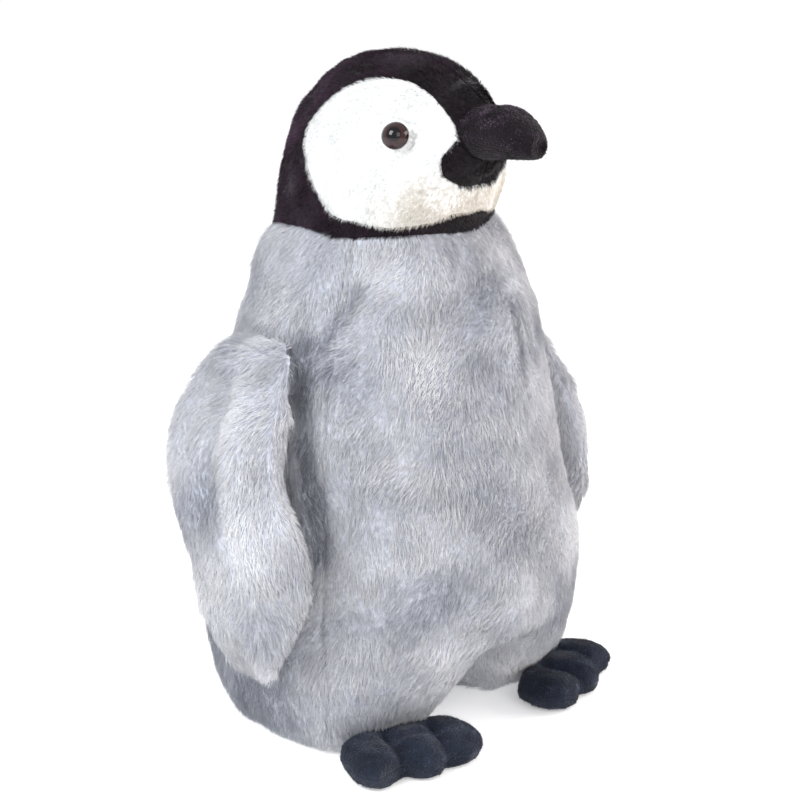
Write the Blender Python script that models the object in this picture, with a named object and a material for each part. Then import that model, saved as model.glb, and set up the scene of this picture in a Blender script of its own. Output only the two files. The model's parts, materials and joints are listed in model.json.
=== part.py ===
"""Plush penguin chick: sewn fabric panels over stuffing, a pellet pouch in the base, plastic
safety eyes, a stuffed beak, two hinged flippers, two flexing feet and a short tail.

Frame: metres, +Z up, the belly faces -Y, the toy's own left is +X, floor at Z = 0.
"""
from math import acos, cos, exp, floor, log, pi, radians, sin, sqrt

import bmesh
import bpy
from mathutils import Matrix, Vector

# ---- driving dimensions (metres) ----
FABRIC = 0.0025          # pile fabric with its backing
FLEECE = 0.0016          # fine fleece of the beak and feet
POUCH_CLOTH = 0.0008     # woven cloth of the pellet pouch
SEAM_GAP = 0.0005        # between the edges of neighbouring panels
CLEARANCE = 0.0012       # between a panel and the stuffing behind it
NECK_TILT = 0.08         # how far the neck seam drops from front to back

# Sections of the body from the floor to the neck: height, half width, reach forward, reach back.
BODY_ROWS = (
    (0.0000, 0.0690, 0.0350, 0.0770),
    (0.0050, 0.0800, 0.0460, 0.0880),
    (0.0150, 0.0862, 0.0560, 0.0950),
    (0.0300, 0.0893, 0.0690, 0.1005),
    (0.0550, 0.0930, 0.0820, 0.1035),
    (0.0850, 0.0925, 0.0845, 0.1025),
    (0.1250, 0.0890, 0.0785, 0.0995),
    (0.1650, 0.0835, 0.0695, 0.0955),
    (0.2050, 0.0745, 0.0605, 0.0835),
    (0.2300, 0.0625, 0.0490, 0.0735),
    (0.2440, 0.0525, 0.0400, 0.0700),
)
SQUARED_BELOW = 0.060    # under this height the oval sections grow squarer
SQUARE_FRONT = 1.1       # how much squarer they are at the floor, in front and behind
SQUARE_BACK = 0.3
NECK_FADE = 6            # how quickly the tilt of the neck seam fades away from it
BODY_GIRTH_RADIUS = 0.09  # of the body at its side seams, about
ARCH_DEPTH = 0.028       # the belly is drawn back between the feet
ARCH_HALF_WIDTH = 0.022
ARCH_TALL = 0.030
ARCH_FOOT_Z = 0.008

# Sections of the head from the crown to the neck: height, half width, reach forward, reach back.
HEAD_ROWS = (
    (0.3262, 0.0000, 0.0000, 0.0020),
    (0.3235, 0.0145, 0.0200, 0.0230),
    (0.3165, 0.0255, 0.0350, 0.0385),
    (0.3025, 0.0380, 0.0460, 0.0535),
    (0.2850, 0.0455, 0.0525, 0.0620),
    (0.2670, 0.0495, 0.0500, 0.0665),
    (0.2446, 0.0520, 0.0398, 0.0705),
)
BROW_REACH = 0.0105      # the face swells forward where the beak is sewn on
BROW_WIDTH = 0.0125
BROW_TALL = 0.0135
BEAK_Z = 0.2915          # height of the middle of the beak's root
BROW_Z = BEAK_Z + 0.0065
BEAK_HALF_WIDTH = 0.0150
BEAK_HALF_HEIGHT = 0.0125
BEAK_TIP_Y = -0.0838
BEAK_TIP_Z = 0.2860
SMALLEST = 0.0004        # half width of the beak where its panels end
BEAK_SEAM = radians(125)  # where the upper beak meets the panel under it
BEAK_SEAM_GAP = 0.035    # half of it, as an angle round the beak
BEAK_TAPER = 2.3         # the beak stays full for most of its length
BEAK_HOOK = 1.6          # and bends down mostly near its tip
BEAK_ARCH = 0.0024       # its middle rises by this much
BEAK_STAND_OFF = 0.0012  # between the beak's root and the face
BEAK_STATIONS = (0.0, 0.22, 0.45, 0.66, 0.83, 0.94)

# The head is drawn flat on a disc: the crown is its middle, the neck seam its rim, front is -y.
# The white cheek lies between these two edges, from the top of the cheek to the throat.
CHEEK_FRONT = ((-0.41, 0.07), (-0.33, -0.10), (-0.27, -0.26), (-0.245, -0.42), (-0.25, -0.555),
               (-0.375, -0.60), (-0.375, -0.71), (-0.20, -0.835), (-0.004, -0.862))
CHEEK_REAR = ((-0.44, 0.12), (-0.57, 0.265), (-0.75, 0.215), (-0.89, 0.06), (-0.925, -0.12),
              (-0.85, -0.43), (-0.71, -0.66), (-0.42, -0.88), (-0.004, -0.952))
# The black hood runs round the cheek: its inner edge, then its edge at the middle and the neck.
HOOD_INNER = ((-0.225, -0.555), (-0.230, -0.42), (-0.255, -0.26), (-0.315, -0.095), (-0.41, 0.105),
              (-0.57, 0.290), (-0.76, 0.240), (-0.91, 0.07), (-0.940, -0.13),
              (-0.865, -0.44), (-0.720, -0.68), (-0.42, -0.897), (-0.06, -0.966))
HOOD_OUTER = ((-0.12, -0.50), (-0.004, -0.47), (-0.004, -0.20), (-0.004, 0.05), (-0.004, 0.35),
              (-0.004, 0.72), (-0.10, 0.985), (-0.72, 0.69), (-0.998, 0.0),
              (-0.90, -0.436), (-0.73, -0.683), (-0.43, -0.903), (-0.06, -0.990))
# The black chin patch under the beak: its edge along the beak and its lower edge.
CHIN_UPPER = ((-0.215, -0.585), (-0.17, -0.66), (-0.09, -0.705), (-0.004, -0.72))
CHIN_LOWER = ((-0.358, -0.610), (-0.355, -0.70), (-0.19, -0.818), (-0.004, -0.846))

MIDDLE_GAP = 0.006      # on the disc, between the left and right panels

EYE_DISC = (-0.51, -0.335)  # the eye's place on the same disc
EYE_RADIUS = 0.0063
EYE_DOME = 0.0042        # how far the lens stands out
EYE_POST_RADIUS = 0.0022
EYE_POST_LENGTH = 0.0130
EYE_WASHER_RADIUS = 0.0070
EYE_WASHER_THICK = 0.0012
EYE_LIFT = 0.0012        # the lens stands this far off the cloth
EYE_SEGMENTS = 20
POST_FLANGE = 0.0006     # the flange under the lens is narrower than it by this much
POST_TIP_RADIUS = 0.0014
WASHER_CLEARANCE = 0.0003  # between the washer and the post
HOLE_CLEARANCE = 0.0004  # between the post and the cloth
POCKET_CLEARANCE = 0.0008  # between the washer and the stuffing

SIDE_SEAM = radians(72)  # the belly panel reaches this far round from the front
POUCH_LOW = 0.0045
POUCH_HIGH = 0.0620
POUCH_HALF = (0.066, 0.052)
POUCH_CENTRE_Y = 0.024
POUCH_FULLNESS = 2.6     # 2 would make the bag an ellipsoid
PELLET_CLEARANCE = 0.0008  # between the pouch and the pellets in it
STUFFING_FROM = 0.46     # the body's stuffing begins above the pouch, as a share of the sections
STUFFING_TO = 0.985

FLIPPER_STAND_OFF = 0.0024   # between the flipper's inner face and the body
# The flipper from the shoulder down: height, edge towards the front, edge towards the back, thickness.
FLIPPER_ROWS = (
    (0.1960, -0.006, 0.037, 0.009),
    (0.1880, -0.013, 0.045, 0.014),
    (0.1700, -0.017, 0.056, 0.020),
    (0.1450, -0.027, 0.060, 0.025),
    (0.1200, -0.036, 0.054, 0.025),
    (0.0950, -0.039, 0.043, 0.021),
    (0.0700, -0.030, 0.033, 0.016),
    (0.0500, -0.017, 0.025, 0.011),
    (0.0400, -0.006, 0.015, 0.006),
)
FLIPPER_LIFT = 0.0050    # the middle of the flipper bows out this much more
FLIPPER_CLOTH = 0.8 * FABRIC
EDGE_SEAM_GAP = 0.0003   # half of it, between the two panels of a flipper or of the tail
FILL_CLEARANCE = 0.0014  # between those panels and the filling
FLIPPER_HINGE_Y = 0.013
FLIPPER_HINGE_Z = 0.1965

FOOT_ROOT = (0.0570, -0.0500)  # middle of the seam where the left foot leaves the body
FOOT_SPLAY = radians(24)
FOOT_SEAM_Z = 0.0085     # the side seam between the foot's upper and its sole
FOOT_RISE = 0.0115       # height of the upper over that seam
FOOT_MIDDLE = 0.0090     # from the root to the middle of the foot
FOOT_HINGE_Z = 0.0150
HEEL_HALF = (0.034, 0.010)  # half width and half length of the heel behind the toes
TOE_BLEND = 9            # larger makes sharper valleys between the toes
SOLE_SEAM_GAP = 0.0003   # half of it, between the upper and the sole
FOOT_FILL_CLEARANCE = 0.0022
# Toes: place outwards and ahead of the root, turn outwards, half width, half length.
TOES = (
    (-0.0250, 0.0060, radians(-10), 0.0128, 0.0160),
    (-0.0025, 0.0120, radians(-8), 0.0130, 0.0160),
    (0.0215, 0.0130, radians(6), 0.0128, 0.0165),
)

TAIL_LENGTH = 0.021
TAIL_HALF_WIDTH = 0.017
TAIL_HALF_THICK = 0.007
TAIL_ROOT_Z = 0.030
TAIL_DROOP = radians(-22)
TAIL_SECTION = 0.3       # the body section, as a share of BODY_ROWS, that the tail is sewn to
LABEL_SIZE = (0.018, 0.0006, 0.022)
LABEL_INNER_EDGE = 0.030  # from the middle of the back
LABEL_TOP = 0.030


# ---- helpers ----
def clear_scene():
    for obj in list(bpy.data.objects):
        bpy.data.objects.remove(obj, do_unlink=True)


def material(name, colour, roughness):
    made = bpy.data.materials.new(name)
    made.use_nodes = True
    shader = made.node_tree.nodes["Principled BSDF"]
    shader.inputs["Base Color"].default_value = (*colour, 1.0)
    shader.inputs["Roughness"].default_value = roughness
    shader.inputs["Metallic"].default_value = 0.0
    return made


def add_object(name, vertices, faces, surface, pivot=(0.0, 0.0, 0.0), smooth=True):
    """A mesh object whose origin is at pivot; the vertices are given in the world's frame."""
    mesh = bpy.data.meshes.new(name)
    origin = Vector(pivot)
    mesh.from_pydata([Vector(v) - origin for v in vertices], [], faces)
    bm = bmesh.new()
    bm.from_mesh(mesh)
    bmesh.ops.recalc_face_normals(bm, faces=bm.faces)
    bm.to_mesh(mesh)
    bm.free()
    if smooth:
        mesh.shade_smooth()
    mesh.materials.append(surface)
    obj = bpy.data.objects.new(name, mesh)
    obj.location = origin
    bpy.context.collection.objects.link(obj)
    return obj


def along(rows, t, mirrored_start=False):
    """A smooth curve through the rows, t from 0 at the first row to 1 at the last."""
    last = len(rows) - 1
    place = t * last
    i = min(max(int(floor(place)), 0), last - 1)
    f = place - i
    here, there = rows[i], rows[i + 1]
    if i > 0:
        before = rows[i - 1]
    elif mirrored_start:
        before = (rows[1][0],) + tuple(-v for v in rows[1][1:])
    else:
        before = tuple(2 * p - q for p, q in zip(rows[0], rows[1]))
    if i + 2 <= last:
        after = rows[i + 2]
    else:
        after = tuple(2 * p - q for p, q in zip(rows[last], rows[last - 1]))
    return [
        0.5 * (2 * b + (c - a) * f + (2 * a - 5 * b + 4 * c - d) * f ** 2
               + (3 * b - 3 * c + d - a) * f ** 3)
        for a, b, c, d in zip(before, here, there, after)
    ]


def oval_point(half_width, reach_front, reach_back, angle, power=2.0):
    """A point on a level oval; angle 0 is the front, positive towards the toy's left."""
    reach = reach_front if cos(angle) > 0 else reach_back
    x = half_width * abs(sin(angle)) ** (2 / power)
    y = reach * abs(cos(angle)) ** (2 / power)
    return (x if sin(angle) > 0 else -x), (-y if cos(angle) > 0 else y)


def section_power(z, in_front=True):
    squareness = SQUARE_FRONT if in_front else SQUARE_BACK
    return 2.0 + squareness * max(0.0, 1 - z / SQUARED_BELOW)


def arch(x, z):
    """How far the belly is drawn back between the feet at a place x, z of its front."""
    above = max(z - ARCH_FOOT_Z, 0.0)
    return ARCH_DEPTH * exp(-(x / ARCH_HALF_WIDTH) ** 2 - (above / ARCH_TALL) ** 2)


def body_point(t, angle):
    z, half_width, front, back = along(BODY_ROWS, t)
    x, y = oval_point(half_width, front, back, angle, section_power(z, cos(angle) > 0))
    if cos(angle) > 0:
        y += arch(x, z) * cos(angle)
    return Vector((x, y, z - NECK_TILT * y * t ** NECK_FADE))


def head_point(rho, angle):
    z, half_width, front, back = along(HEAD_ROWS, rho, mirrored_start=True)
    x, y = oval_point(half_width, front, back, angle)
    if cos(angle) > 0:
        y -= BROW_REACH * exp(-(x / BROW_WIDTH) ** 2 - ((z - BROW_Z) / BROW_TALL) ** 2)
    return Vector((x, y, z - NECK_TILT * y * rho ** NECK_FADE))


def disc_point(s, t):
    """A point of the head's surface from its place on the flat disc."""
    rho = min(sqrt(s * s + t * t), 1.0)
    angle = 0.0 if rho == 0 else acos(max(-1.0, min(1.0, -t / sqrt(s * s + t * t))))
    return head_point(rho, -angle if s < 0 else angle)


def sunk(surface, u, v, depth, inside, step=0.004):
    """A point of the surface moved by depth along its normal, towards the point inside."""
    point = surface(u, v)
    if depth == 0:
        return point
    du = surface(min(u + step, 1.0), v) - surface(u - step, v)
    dv = surface(u, v + step) - surface(u, v - step)
    normal = du.cross(dv).normalized()
    if normal.dot(inside - point) < 0:
        normal.negate()
    return point + normal * depth


def sheet_solid(outer, inner):
    """Vertices and faces of a closed solid between two grids of the same size."""
    rows, columns = len(outer), len(outer[0])
    flat = [p for row in outer for p in row] + [p for row in inner for p in row]
    half = rows * columns
    faces = []
    for i in range(rows - 1):
        for j in range(columns - 1):
            a = i * columns + j
            quad = (a, a + 1, a + columns + 1, a + columns)
            faces.append(quad)
            faces.append(tuple(half + k for k in reversed(quad)))
    rim = [(0, j) for j in range(columns)]
    rim += [(i, columns - 1) for i in range(1, rows)]
    rim += [(rows - 1, j) for j in reversed(range(columns - 1))]
    rim += [(i, 0) for i in reversed(range(1, rows - 1))]
    for k, (i, j) in enumerate(rim):
        m, n = rim[(k + 1) % len(rim)]
        a, b = i * columns + j, m * columns + n
        faces.append((b, a, half + a, half + b))
    return flat, faces


def loop_solid(loops):
    """Vertices and faces of a closed solid through a row of closed loops, with flat ends."""
    count = len(loops[0])
    flat = [p for loop in loops for p in loop]
    faces = []
    for i in range(len(loops) - 1):
        for j in range(count):
            a, b = i * count + j, i * count + (j + 1) % count
            faces.append((a, b, b + count, a + count))
    faces.append(tuple(reversed(range(count))))
    faces.append(tuple((len(loops) - 1) * count + j for j in range(count)))
    return flat, faces


def cup_solid(outer_loops, inner_loops):
    """A closed shell: rounded outside, its mouth at the first loop, closed at the last."""
    count = len(outer_loops[0])
    flat = [p for loop in outer_loops for p in loop] + [p for loop in inner_loops for p in loop]
    half = len(outer_loops) * count
    faces = []
    for base, loops in ((0, outer_loops), (half, inner_loops)):
        for i in range(len(loops) - 1):
            for j in range(count):
                a, b = base + i * count + j, base + i * count + (j + 1) % count
                quad = (a, b, b + count, a + count)
                faces.append(quad if base == 0 else tuple(reversed(quad)))
        end = tuple(base + (len(loops) - 1) * count + j for j in range(count))
        faces.append(end if base == 0 else tuple(reversed(end)))
    for j in range(count):
        k = (j + 1) % count
        faces.append((j, half + j, half + k, k))
    return flat, faces


def mirrored(points, side):
    """Points drawn for the toy's right side (-X), taken to the side asked for."""
    if side == "right":
        return points
    return [Vector((-p.x, p.y, p.z)) for p in points]


def steps(low, high, count):
    return [low + (high - low) * k / (count - 1) for k in range(count)]


# ---- body ----
BODY_INSIDE = Vector((0.0, 0.01, 0.11))


def body_panel(name, first, last, rows, columns, surface):
    def grid(depth):
        return [
            [sunk(body_point, t, a, depth, BODY_INSIDE) for a in steps(first, last, columns)]
            for t in steps(0.0, 1.0, rows)
        ]
    flat, faces = sheet_solid(grid(0.0), grid(FABRIC))
    return add_object(name, flat, faces, surface)


def build_body(pile):
    gap = SEAM_GAP / BODY_GIRTH_RADIUS
    body_panel("belly_panel", -SIDE_SEAM + gap, SIDE_SEAM - gap, 16, 15, pile)
    body_panel("back_panel_left", SIDE_SEAM, pi - gap, 16, 10, pile)
    body_panel("back_panel_right", -pi + gap, -SIDE_SEAM, 16, 10, pile)


def base_panel(surface):
    inset = FABRIC + 2 * SEAM_GAP
    rim = [body_point(0.0, a) for a in steps(0.0, 2 * pi, 45)[:-1]]
    loops = []
    for height in (0.0, FABRIC):
        loop = []
        for k, point in enumerate(rim):
            edge = rim[(k + 1) % len(rim)] - rim[k - 1]
            inward = Vector((-edge.y, edge.x, 0.0)).normalized()
            loop.append(Vector((point.x, point.y, height)) + inward * inset)
        loops.append(loop)
    flat, faces = loop_solid(loops)
    return add_object("base_panel", flat, faces, surface, smooth=False)


def body_stuffing(surface):
    depth = FABRIC + CLEARANCE
    loops = []
    for t in steps(STUFFING_FROM, STUFFING_TO, 9):
        loops.append([sunk(body_point, t, a, depth, BODY_INSIDE) for a in steps(0, 2 * pi, 31)[:-1]])
    flat, faces = loop_solid(loops)
    return add_object("body_stuffing", flat, faces, surface)


def pouch_loop(height, depth):
    """A level section of the pouch, an oblate bag, drawn in by depth."""
    middle = (POUCH_LOW + POUCH_HIGH) / 2
    half = (POUCH_HIGH - POUCH_LOW) / 2 - depth
    share = (height - middle) / half
    factor = max(1 - abs(share) ** POUCH_FULLNESS, 0.0) ** (1 / POUCH_FULLNESS)
    return [
        Vector(((POUCH_HALF[0] - depth) * factor * sin(a),
                POUCH_CENTRE_Y - (POUCH_HALF[1] - depth) * factor * cos(a), height))
        for a in steps(0, 2 * pi, 29)[:-1]
    ]


def pouch_levels(start, depth, way):
    """Heights from the pouch's seam to nearly its top (way 1) or its bottom (way -1)."""
    middle = (POUCH_LOW + POUCH_HIGH) / 2
    half = (POUCH_HIGH - POUCH_LOW) / 2 - depth
    begin = start / half
    return [middle + way * half * share for share in (begin, 0.35, 0.65, 0.86, 0.97, 0.999)]


def pellet_pouch(cloth, pellets):
    for name, way in (("pellet_pouch_top", 1), ("pellet_pouch_bottom", -1)):
        outer = [pouch_loop(z, 0.0) for z in pouch_levels(SEAM_GAP / 2, 0.0, way)]
        inner = [pouch_loop(z, POUCH_CLOTH) for z in pouch_levels(SEAM_GAP / 2, POUCH_CLOTH, way)]
        flat, faces = cup_solid(outer, inner)
        add_object(name, flat, faces, cloth)
    depth = POUCH_CLOTH + PELLET_CLEARANCE
    middle = (POUCH_LOW + POUCH_HIGH) / 2
    half = (POUCH_HIGH - POUCH_LOW) / 2 - depth
    shares = (-0.999, -0.97, -0.86, -0.6, -0.2, 0.2, 0.5)
    flat, faces = loop_solid([pouch_loop(middle + half * k, depth) for k in shares])
    add_object("pellet_fill", flat, faces, pellets)


# ---- head ----
HEAD_INSIDE = Vector((0.0, 0.006, 0.275))


def disc_sunk(s, t, depth):
    point = disc_point(s, t)
    if depth == 0:
        return point
    step = 0.01
    du = disc_point(s + step, t) - disc_point(s - step, t)
    dv = disc_point(s, t + step) - disc_point(s, t - step)
    normal = du.cross(dv).normalized()
    if normal.dot(HEAD_INSIDE - point) < 0:
        normal.negate()
    return point + normal * depth


def head_patch(name, edge_a, edge_b, rows, columns, side, surface):
    """A panel of the head, lofted on the disc between two edges."""
    def grid(depth):
        lines = []
        for k in steps(0.0, 1.0, rows):
            a, b = along(edge_a, k), along(edge_b, k)
            line = [
                disc_sunk(min(a[0] + (b[0] - a[0]) * w, -MIDDLE_GAP), a[1] + (b[1] - a[1]) * w, depth)
                for w in steps(0.0, 1.0, columns)
            ]
            for point in line:
                point.x = min(point.x, -SEAM_GAP / 2)
            lines.append(mirrored(line, side))
        return lines
    flat, faces = sheet_solid(grid(0.0), grid(FABRIC))
    return add_object(name, flat, faces, surface)


def head_stuffing(surface):
    loops = []
    depth = FABRIC + 2 * CLEARANCE
    for rho in (0.06, 0.18, 0.3, 0.42, 0.54, 0.66, 0.78, 0.89, 0.985):
        loop = []
        for a in steps(0, 2 * pi, 33)[:-1]:
            loop.append(disc_sunk(rho * sin(a), -rho * cos(a), depth))
        loops.append(loop)
    flat, faces = loop_solid(loops)
    return add_object("head_stuffing", flat, faces, surface)


def build_head(hood, cheek):
    for side in ("left", "right"):
        head_patch(f"hood_{side}", HOOD_INNER, HOOD_OUTER, 29, 4, side, hood)
        head_patch(f"cheek_{side}", CHEEK_FRONT, CHEEK_REAR, 19, 6, side, cheek)
        head_patch(f"chin_{side}", CHIN_UPPER, CHIN_LOWER, 7, 4, side, hood)


# ---- eyes ----
def eye_frame(side):
    """Origin on the cheek's surface, local +Z pointing out of the head."""
    s, t = EYE_DISC
    point = disc_sunk(s, t, 0.0)
    normal = (point - disc_sunk(s, t, 0.001)).normalized()
    if side == "left":
        point.x, normal.x = -point.x, -normal.x
    turn = normal.to_track_quat("Z", "Y").to_matrix().to_4x4()
    return Matrix.Translation(point) @ turn


def turned(profile, segments, frame):
    """Loops of a turned piece: profile pairs of radius and height, in the frame given."""
    loops = []
    for radius, height in profile:
        loops.append([
            frame @ Vector((radius * cos(a), radius * sin(a), height))
            for a in steps(0, 2 * pi, segments + 1)[:-1]
        ])
    return loops


def turned_object(name, profile, segments, frame, surface):
    flat, faces = loop_solid(turned(profile, segments, frame))
    obj = add_object(name, flat, faces, surface)
    obj.data.set_sharp_from_angle(angle=radians(40))
    return obj


def build_eyes(lens, post, washer):
    for side in ("left", "right"):
        frame = eye_frame(side)
        dome = [
            (EYE_RADIUS * cos(a), EYE_LIFT + 0.0013 + EYE_DOME * sin(a))
            for a in steps(0.0, radians(78), 6)
        ]
        rim = (EYE_RADIUS - 0.0004, EYE_LIFT + 0.0009)
        turned_object(f"eye_lens_{side}", [rim] + dome, EYE_SEGMENTS, frame, lens)
        flange = EYE_RADIUS - POST_FLANGE
        stem = [
            (POST_TIP_RADIUS, -EYE_POST_LENGTH),
            (EYE_POST_RADIUS, -EYE_POST_LENGTH + 0.0012),
            (EYE_POST_RADIUS, EYE_LIFT - 0.0006),
            (flange, EYE_LIFT - 0.0002),
            (flange, EYE_LIFT + 0.0005),
        ]
        turned_object(f"eye_post_{side}", stem, EYE_SEGMENTS, frame, post)
        low = -FABRIC - CLEARANCE - EYE_WASHER_THICK
        bore = EYE_POST_RADIUS + WASHER_CLEARANCE
        ring = [(bore, low), (EYE_WASHER_RADIUS, low),
                (EYE_WASHER_RADIUS, low + EYE_WASHER_THICK), (bore, low + EYE_WASHER_THICK)]
        ring_object(f"eye_washer_{side}", ring, EYE_SEGMENTS, frame, washer)


def ring_object(name, profile, segments, frame, surface):
    """A ring: the profile's loops are joined round, so it has a bore."""
    loops = turned(profile, segments, frame)
    flat = [p for loop in loops for p in loop]
    faces = []
    for i in range(len(loops)):
        k = (i + 1) % len(loops)
        for j in range(segments):
            m = (j + 1) % segments
            faces.append((i * segments + j, i * segments + m, k * segments + m, k * segments + j))
    return add_object(name, flat, faces, surface, smooth=False)


def cutter(name, radius, low, high, frame):
    loops = turned([(radius, low), (radius, high)], EYE_SEGMENTS, frame)
    flat, faces = loop_solid(loops)
    mesh = bpy.data.meshes.new(name)
    mesh.from_pydata(flat, [], faces)
    bm = bmesh.new()
    bm.from_mesh(mesh)
    bmesh.ops.recalc_face_normals(bm, faces=bm.faces)
    bm.to_mesh(mesh)
    bm.free()
    obj = bpy.data.objects.new(name, mesh)
    bpy.context.collection.objects.link(obj)
    obj.hide_render = True
    obj.display_type = "WIRE"
    return obj


def cut(target, tool):
    cutting = target.modifiers.new(tool.name, "BOOLEAN")
    cutting.operation = "DIFFERENCE"
    cutting.solver = "EXACT"
    cutting.object = tool


def open_eye_holes():
    """A hole through each cheek for the eye's post, and room for post and washer in the stuffing."""
    for side in ("left", "right"):
        frame = eye_frame(side)
        hole = cutter(f"eye_hole_{side}", EYE_POST_RADIUS + HOLE_CLEARANCE, -0.006, 0.004, frame)
        cut(bpy.data.objects[f"cheek_{side}"], hole)
        pocket = cutter(f"eye_pocket_{side}", EYE_WASHER_RADIUS + POCKET_CLEARANCE,
                        -EYE_POST_LENGTH - 0.001, 0.004, frame)
        cut(bpy.data.objects["head_stuffing"], pocket)


# ---- beak ----
def beak_loop(k, depth, first, last, count):
    """A section of the beak at k, 0 at its root and 1 near its tip, drawn in by depth."""
    swell = sqrt(max(1 - k ** BEAK_TAPER, 0.0))
    half_width = max(BEAK_HALF_WIDTH * swell - depth, SMALLEST)
    half_height = max(BEAK_HALF_HEIGHT * swell ** 1.05 - depth, SMALLEST)
    middle = BEAK_Z + (BEAK_TIP_Z - BEAK_Z) * k ** BEAK_HOOK
    rise = BEAK_ARCH * sin(pi * k)
    tip_y = BEAK_TIP_Y + depth * 0.7
    points = []
    for a in steps(first, last, count):
        x, z = half_width * sin(a), half_height * cos(a)
        root_x, root_z = (BEAK_HALF_WIDTH - depth) * sin(a), (BEAK_HALF_HEIGHT - depth) * cos(a)
        root_y = face_front(root_x, BEAK_Z + root_z) - BEAK_STAND_OFF
        points.append(Vector((x, root_y + (tip_y - root_y) * k, middle + rise + z)))
    return points


def face_front(x, z):
    """The head's surface in front, at a place x, z of the face, found by halving."""
    low, high = 0.2, 0.95
    for _ in range(30):
        rho = (low + high) / 2
        height = along(HEAD_ROWS, rho, mirrored_start=True)[0]
        if height > z:
            low = rho
        else:
            high = rho
    z_here, half_width, front, _ = along(HEAD_ROWS, low, mirrored_start=True)
    y = -front * sqrt(max(1 - (x / half_width) ** 2, 0.0))
    return y - BROW_REACH * exp(-(x / BROW_WIDTH) ** 2 - ((z_here - BROW_Z) / BROW_TALL) ** 2)


def build_beak(fleece, filling):
    gap = BEAK_SEAM_GAP
    spans = (
        ("beak_left", gap, BEAK_SEAM - gap),
        ("beak_right", -BEAK_SEAM + gap, -gap),
        ("beak_under", BEAK_SEAM + gap, 2 * pi - BEAK_SEAM - gap),
    )
    for name, first, last in spans:
        outer = [beak_loop(k, 0.0, first, last, 8) for k in BEAK_STATIONS]
        inner = [beak_loop(k * 0.98, FLEECE, first, last, 8) for k in BEAK_STATIONS]
        flat, faces = sheet_solid(outer, inner)
        add_object(name, flat, faces, fleece)
    depth = FLEECE + 0.0010
    loops = [beak_loop(k, depth, 0, 2 * pi, 21)[:-1] for k in (0.38, 0.55, 0.70, 0.82, 0.90)]
    flat, faces = loop_solid(loops)
    add_object("beak_stuffing", flat, faces, filling)


# ---- flippers ----
def body_side(y, z):
    """Half width of the body at a place y, z of its side."""
    low, high = 0.0, 1.0
    for _ in range(30):
        t = (low + high) / 2
        if along(BODY_ROWS, t)[0] < z:
            low = t
        else:
            high = t
    _, half_width, front, back = along(BODY_ROWS, low)
    reach = front if y < 0 else back
    power = section_power(z, y < 0)
    return half_width * max(1 - abs(y / reach) ** power, 0.05) ** (1 / power)


def flipper_face(v, u, level, side, margin=0.0):
    """A point of the flipper: v down its length, u across it, level from its inner to outer face."""
    z, front, back, thick = along(FLIPPER_ROWS, v)
    middle, half = (front + back) / 2, (back - front) / 2 - margin
    y = middle + half * sin(u * pi / 2)
    rounding = max(cos(u * pi / 2), 0.0) ** 0.8
    depth = thick / 2 - margin
    lift = FLIPPER_LIFT * sin(pi * v ** 0.66)
    base = body_side(y * 0.75, z) + FLIPPER_STAND_OFF + lift + thick / 2
    x = base + level * depth * rounding
    return Vector((x if side == "left" else -x, y, z))


def flipper_pivot(side):
    x = body_side(FLIPPER_HINGE_Y, FLIPPER_HINGE_Z) + FLIPPER_STAND_OFF + 0.004
    return Vector((x if side == "left" else -x, FLIPPER_HINGE_Y, FLIPPER_HINGE_Z))


def flipper_panel(name, way, side, surface):
    """The outer (way 1) or inner (way -1) panel of a flipper."""
    def grid(near):
        lines = []
        for v in steps(0.0, 1.0, 12):
            line = []
            for u in steps(-0.98, 0.98, 8):
                point = flipper_face(v, u, way, side, near)
                point.x += (EDGE_SEAM_GAP * way) if side == "left" else (-EDGE_SEAM_GAP * way)
                line.append(point)
            lines.append(line)
        return lines
    flat, faces = sheet_solid(grid(0.0), grid(FLIPPER_CLOTH))
    return add_object(name, flat, faces, surface, pivot=flipper_pivot(side))


def flipper_fill(side, surface):
    margin = FLIPPER_CLOTH + FILL_CLEARANCE
    loops = []
    for v in steps(0.08, 0.94, 9):
        loop = [flipper_face(v, u, 1, side, margin) for u in steps(-0.96, 0.96, 8)]
        loop += [flipper_face(v, u, -1, side, margin) for u in steps(0.80, -0.80, 6)]
        loops.append(loop)
    flat, faces = loop_solid(loops)
    return add_object(f"flipper_{side}_fill", flat, faces, surface, pivot=flipper_pivot(side))


# ---- feet ----
def toe_field(x, y):
    """How far a place of the foot's plan lies inside its toes: 0 on the outline, 1 on a toe's middle."""
    total = 0.0
    for out, ahead, turn, half_width, half_length in TOES:
        dx, dy = x - out, y - ahead
        across = dx * cos(turn) - dy * sin(turn)
        lengthwise = dx * sin(turn) + dy * cos(turn)
        inside = 1 - (across / half_width) ** 2 - (lengthwise / half_length) ** 2
        total += exp(TOE_BLEND * inside)
    heel = 1 - (x / HEEL_HALF[0]) ** 2 - (y / HEEL_HALF[1]) ** 2
    total += exp(TOE_BLEND * heel)
    return log(total) / TOE_BLEND


def foot_reach(angle, margin):
    """Distance from the foot's middle to its outline in one direction, found by halving."""
    low, high = 0.004, 0.060
    for _ in range(24):
        reach = (low + high) / 2
        if toe_field(reach * sin(angle), FOOT_MIDDLE + reach * cos(angle)) > 0.02:
            low = reach
        else:
            high = reach
    low -= margin
    if cos(angle) < 0:
        low = min(low, (FOOT_MIDDLE - margin) / -cos(angle))
    return low


def foot_to_world(point, side):
    """The foot's own frame (x outwards, y forward to the toes) to the world's."""
    heading = Vector((sin(FOOT_SPLAY), -cos(FOOT_SPLAY)))
    out = Vector((cos(FOOT_SPLAY), sin(FOOT_SPLAY)))
    x = FOOT_ROOT[0] + out.x * point.x + heading.x * point.y
    y = FOOT_ROOT[1] + out.y * point.x + heading.y * point.y
    return Vector((x if side == "left" else -x, y, point.z))


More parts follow.
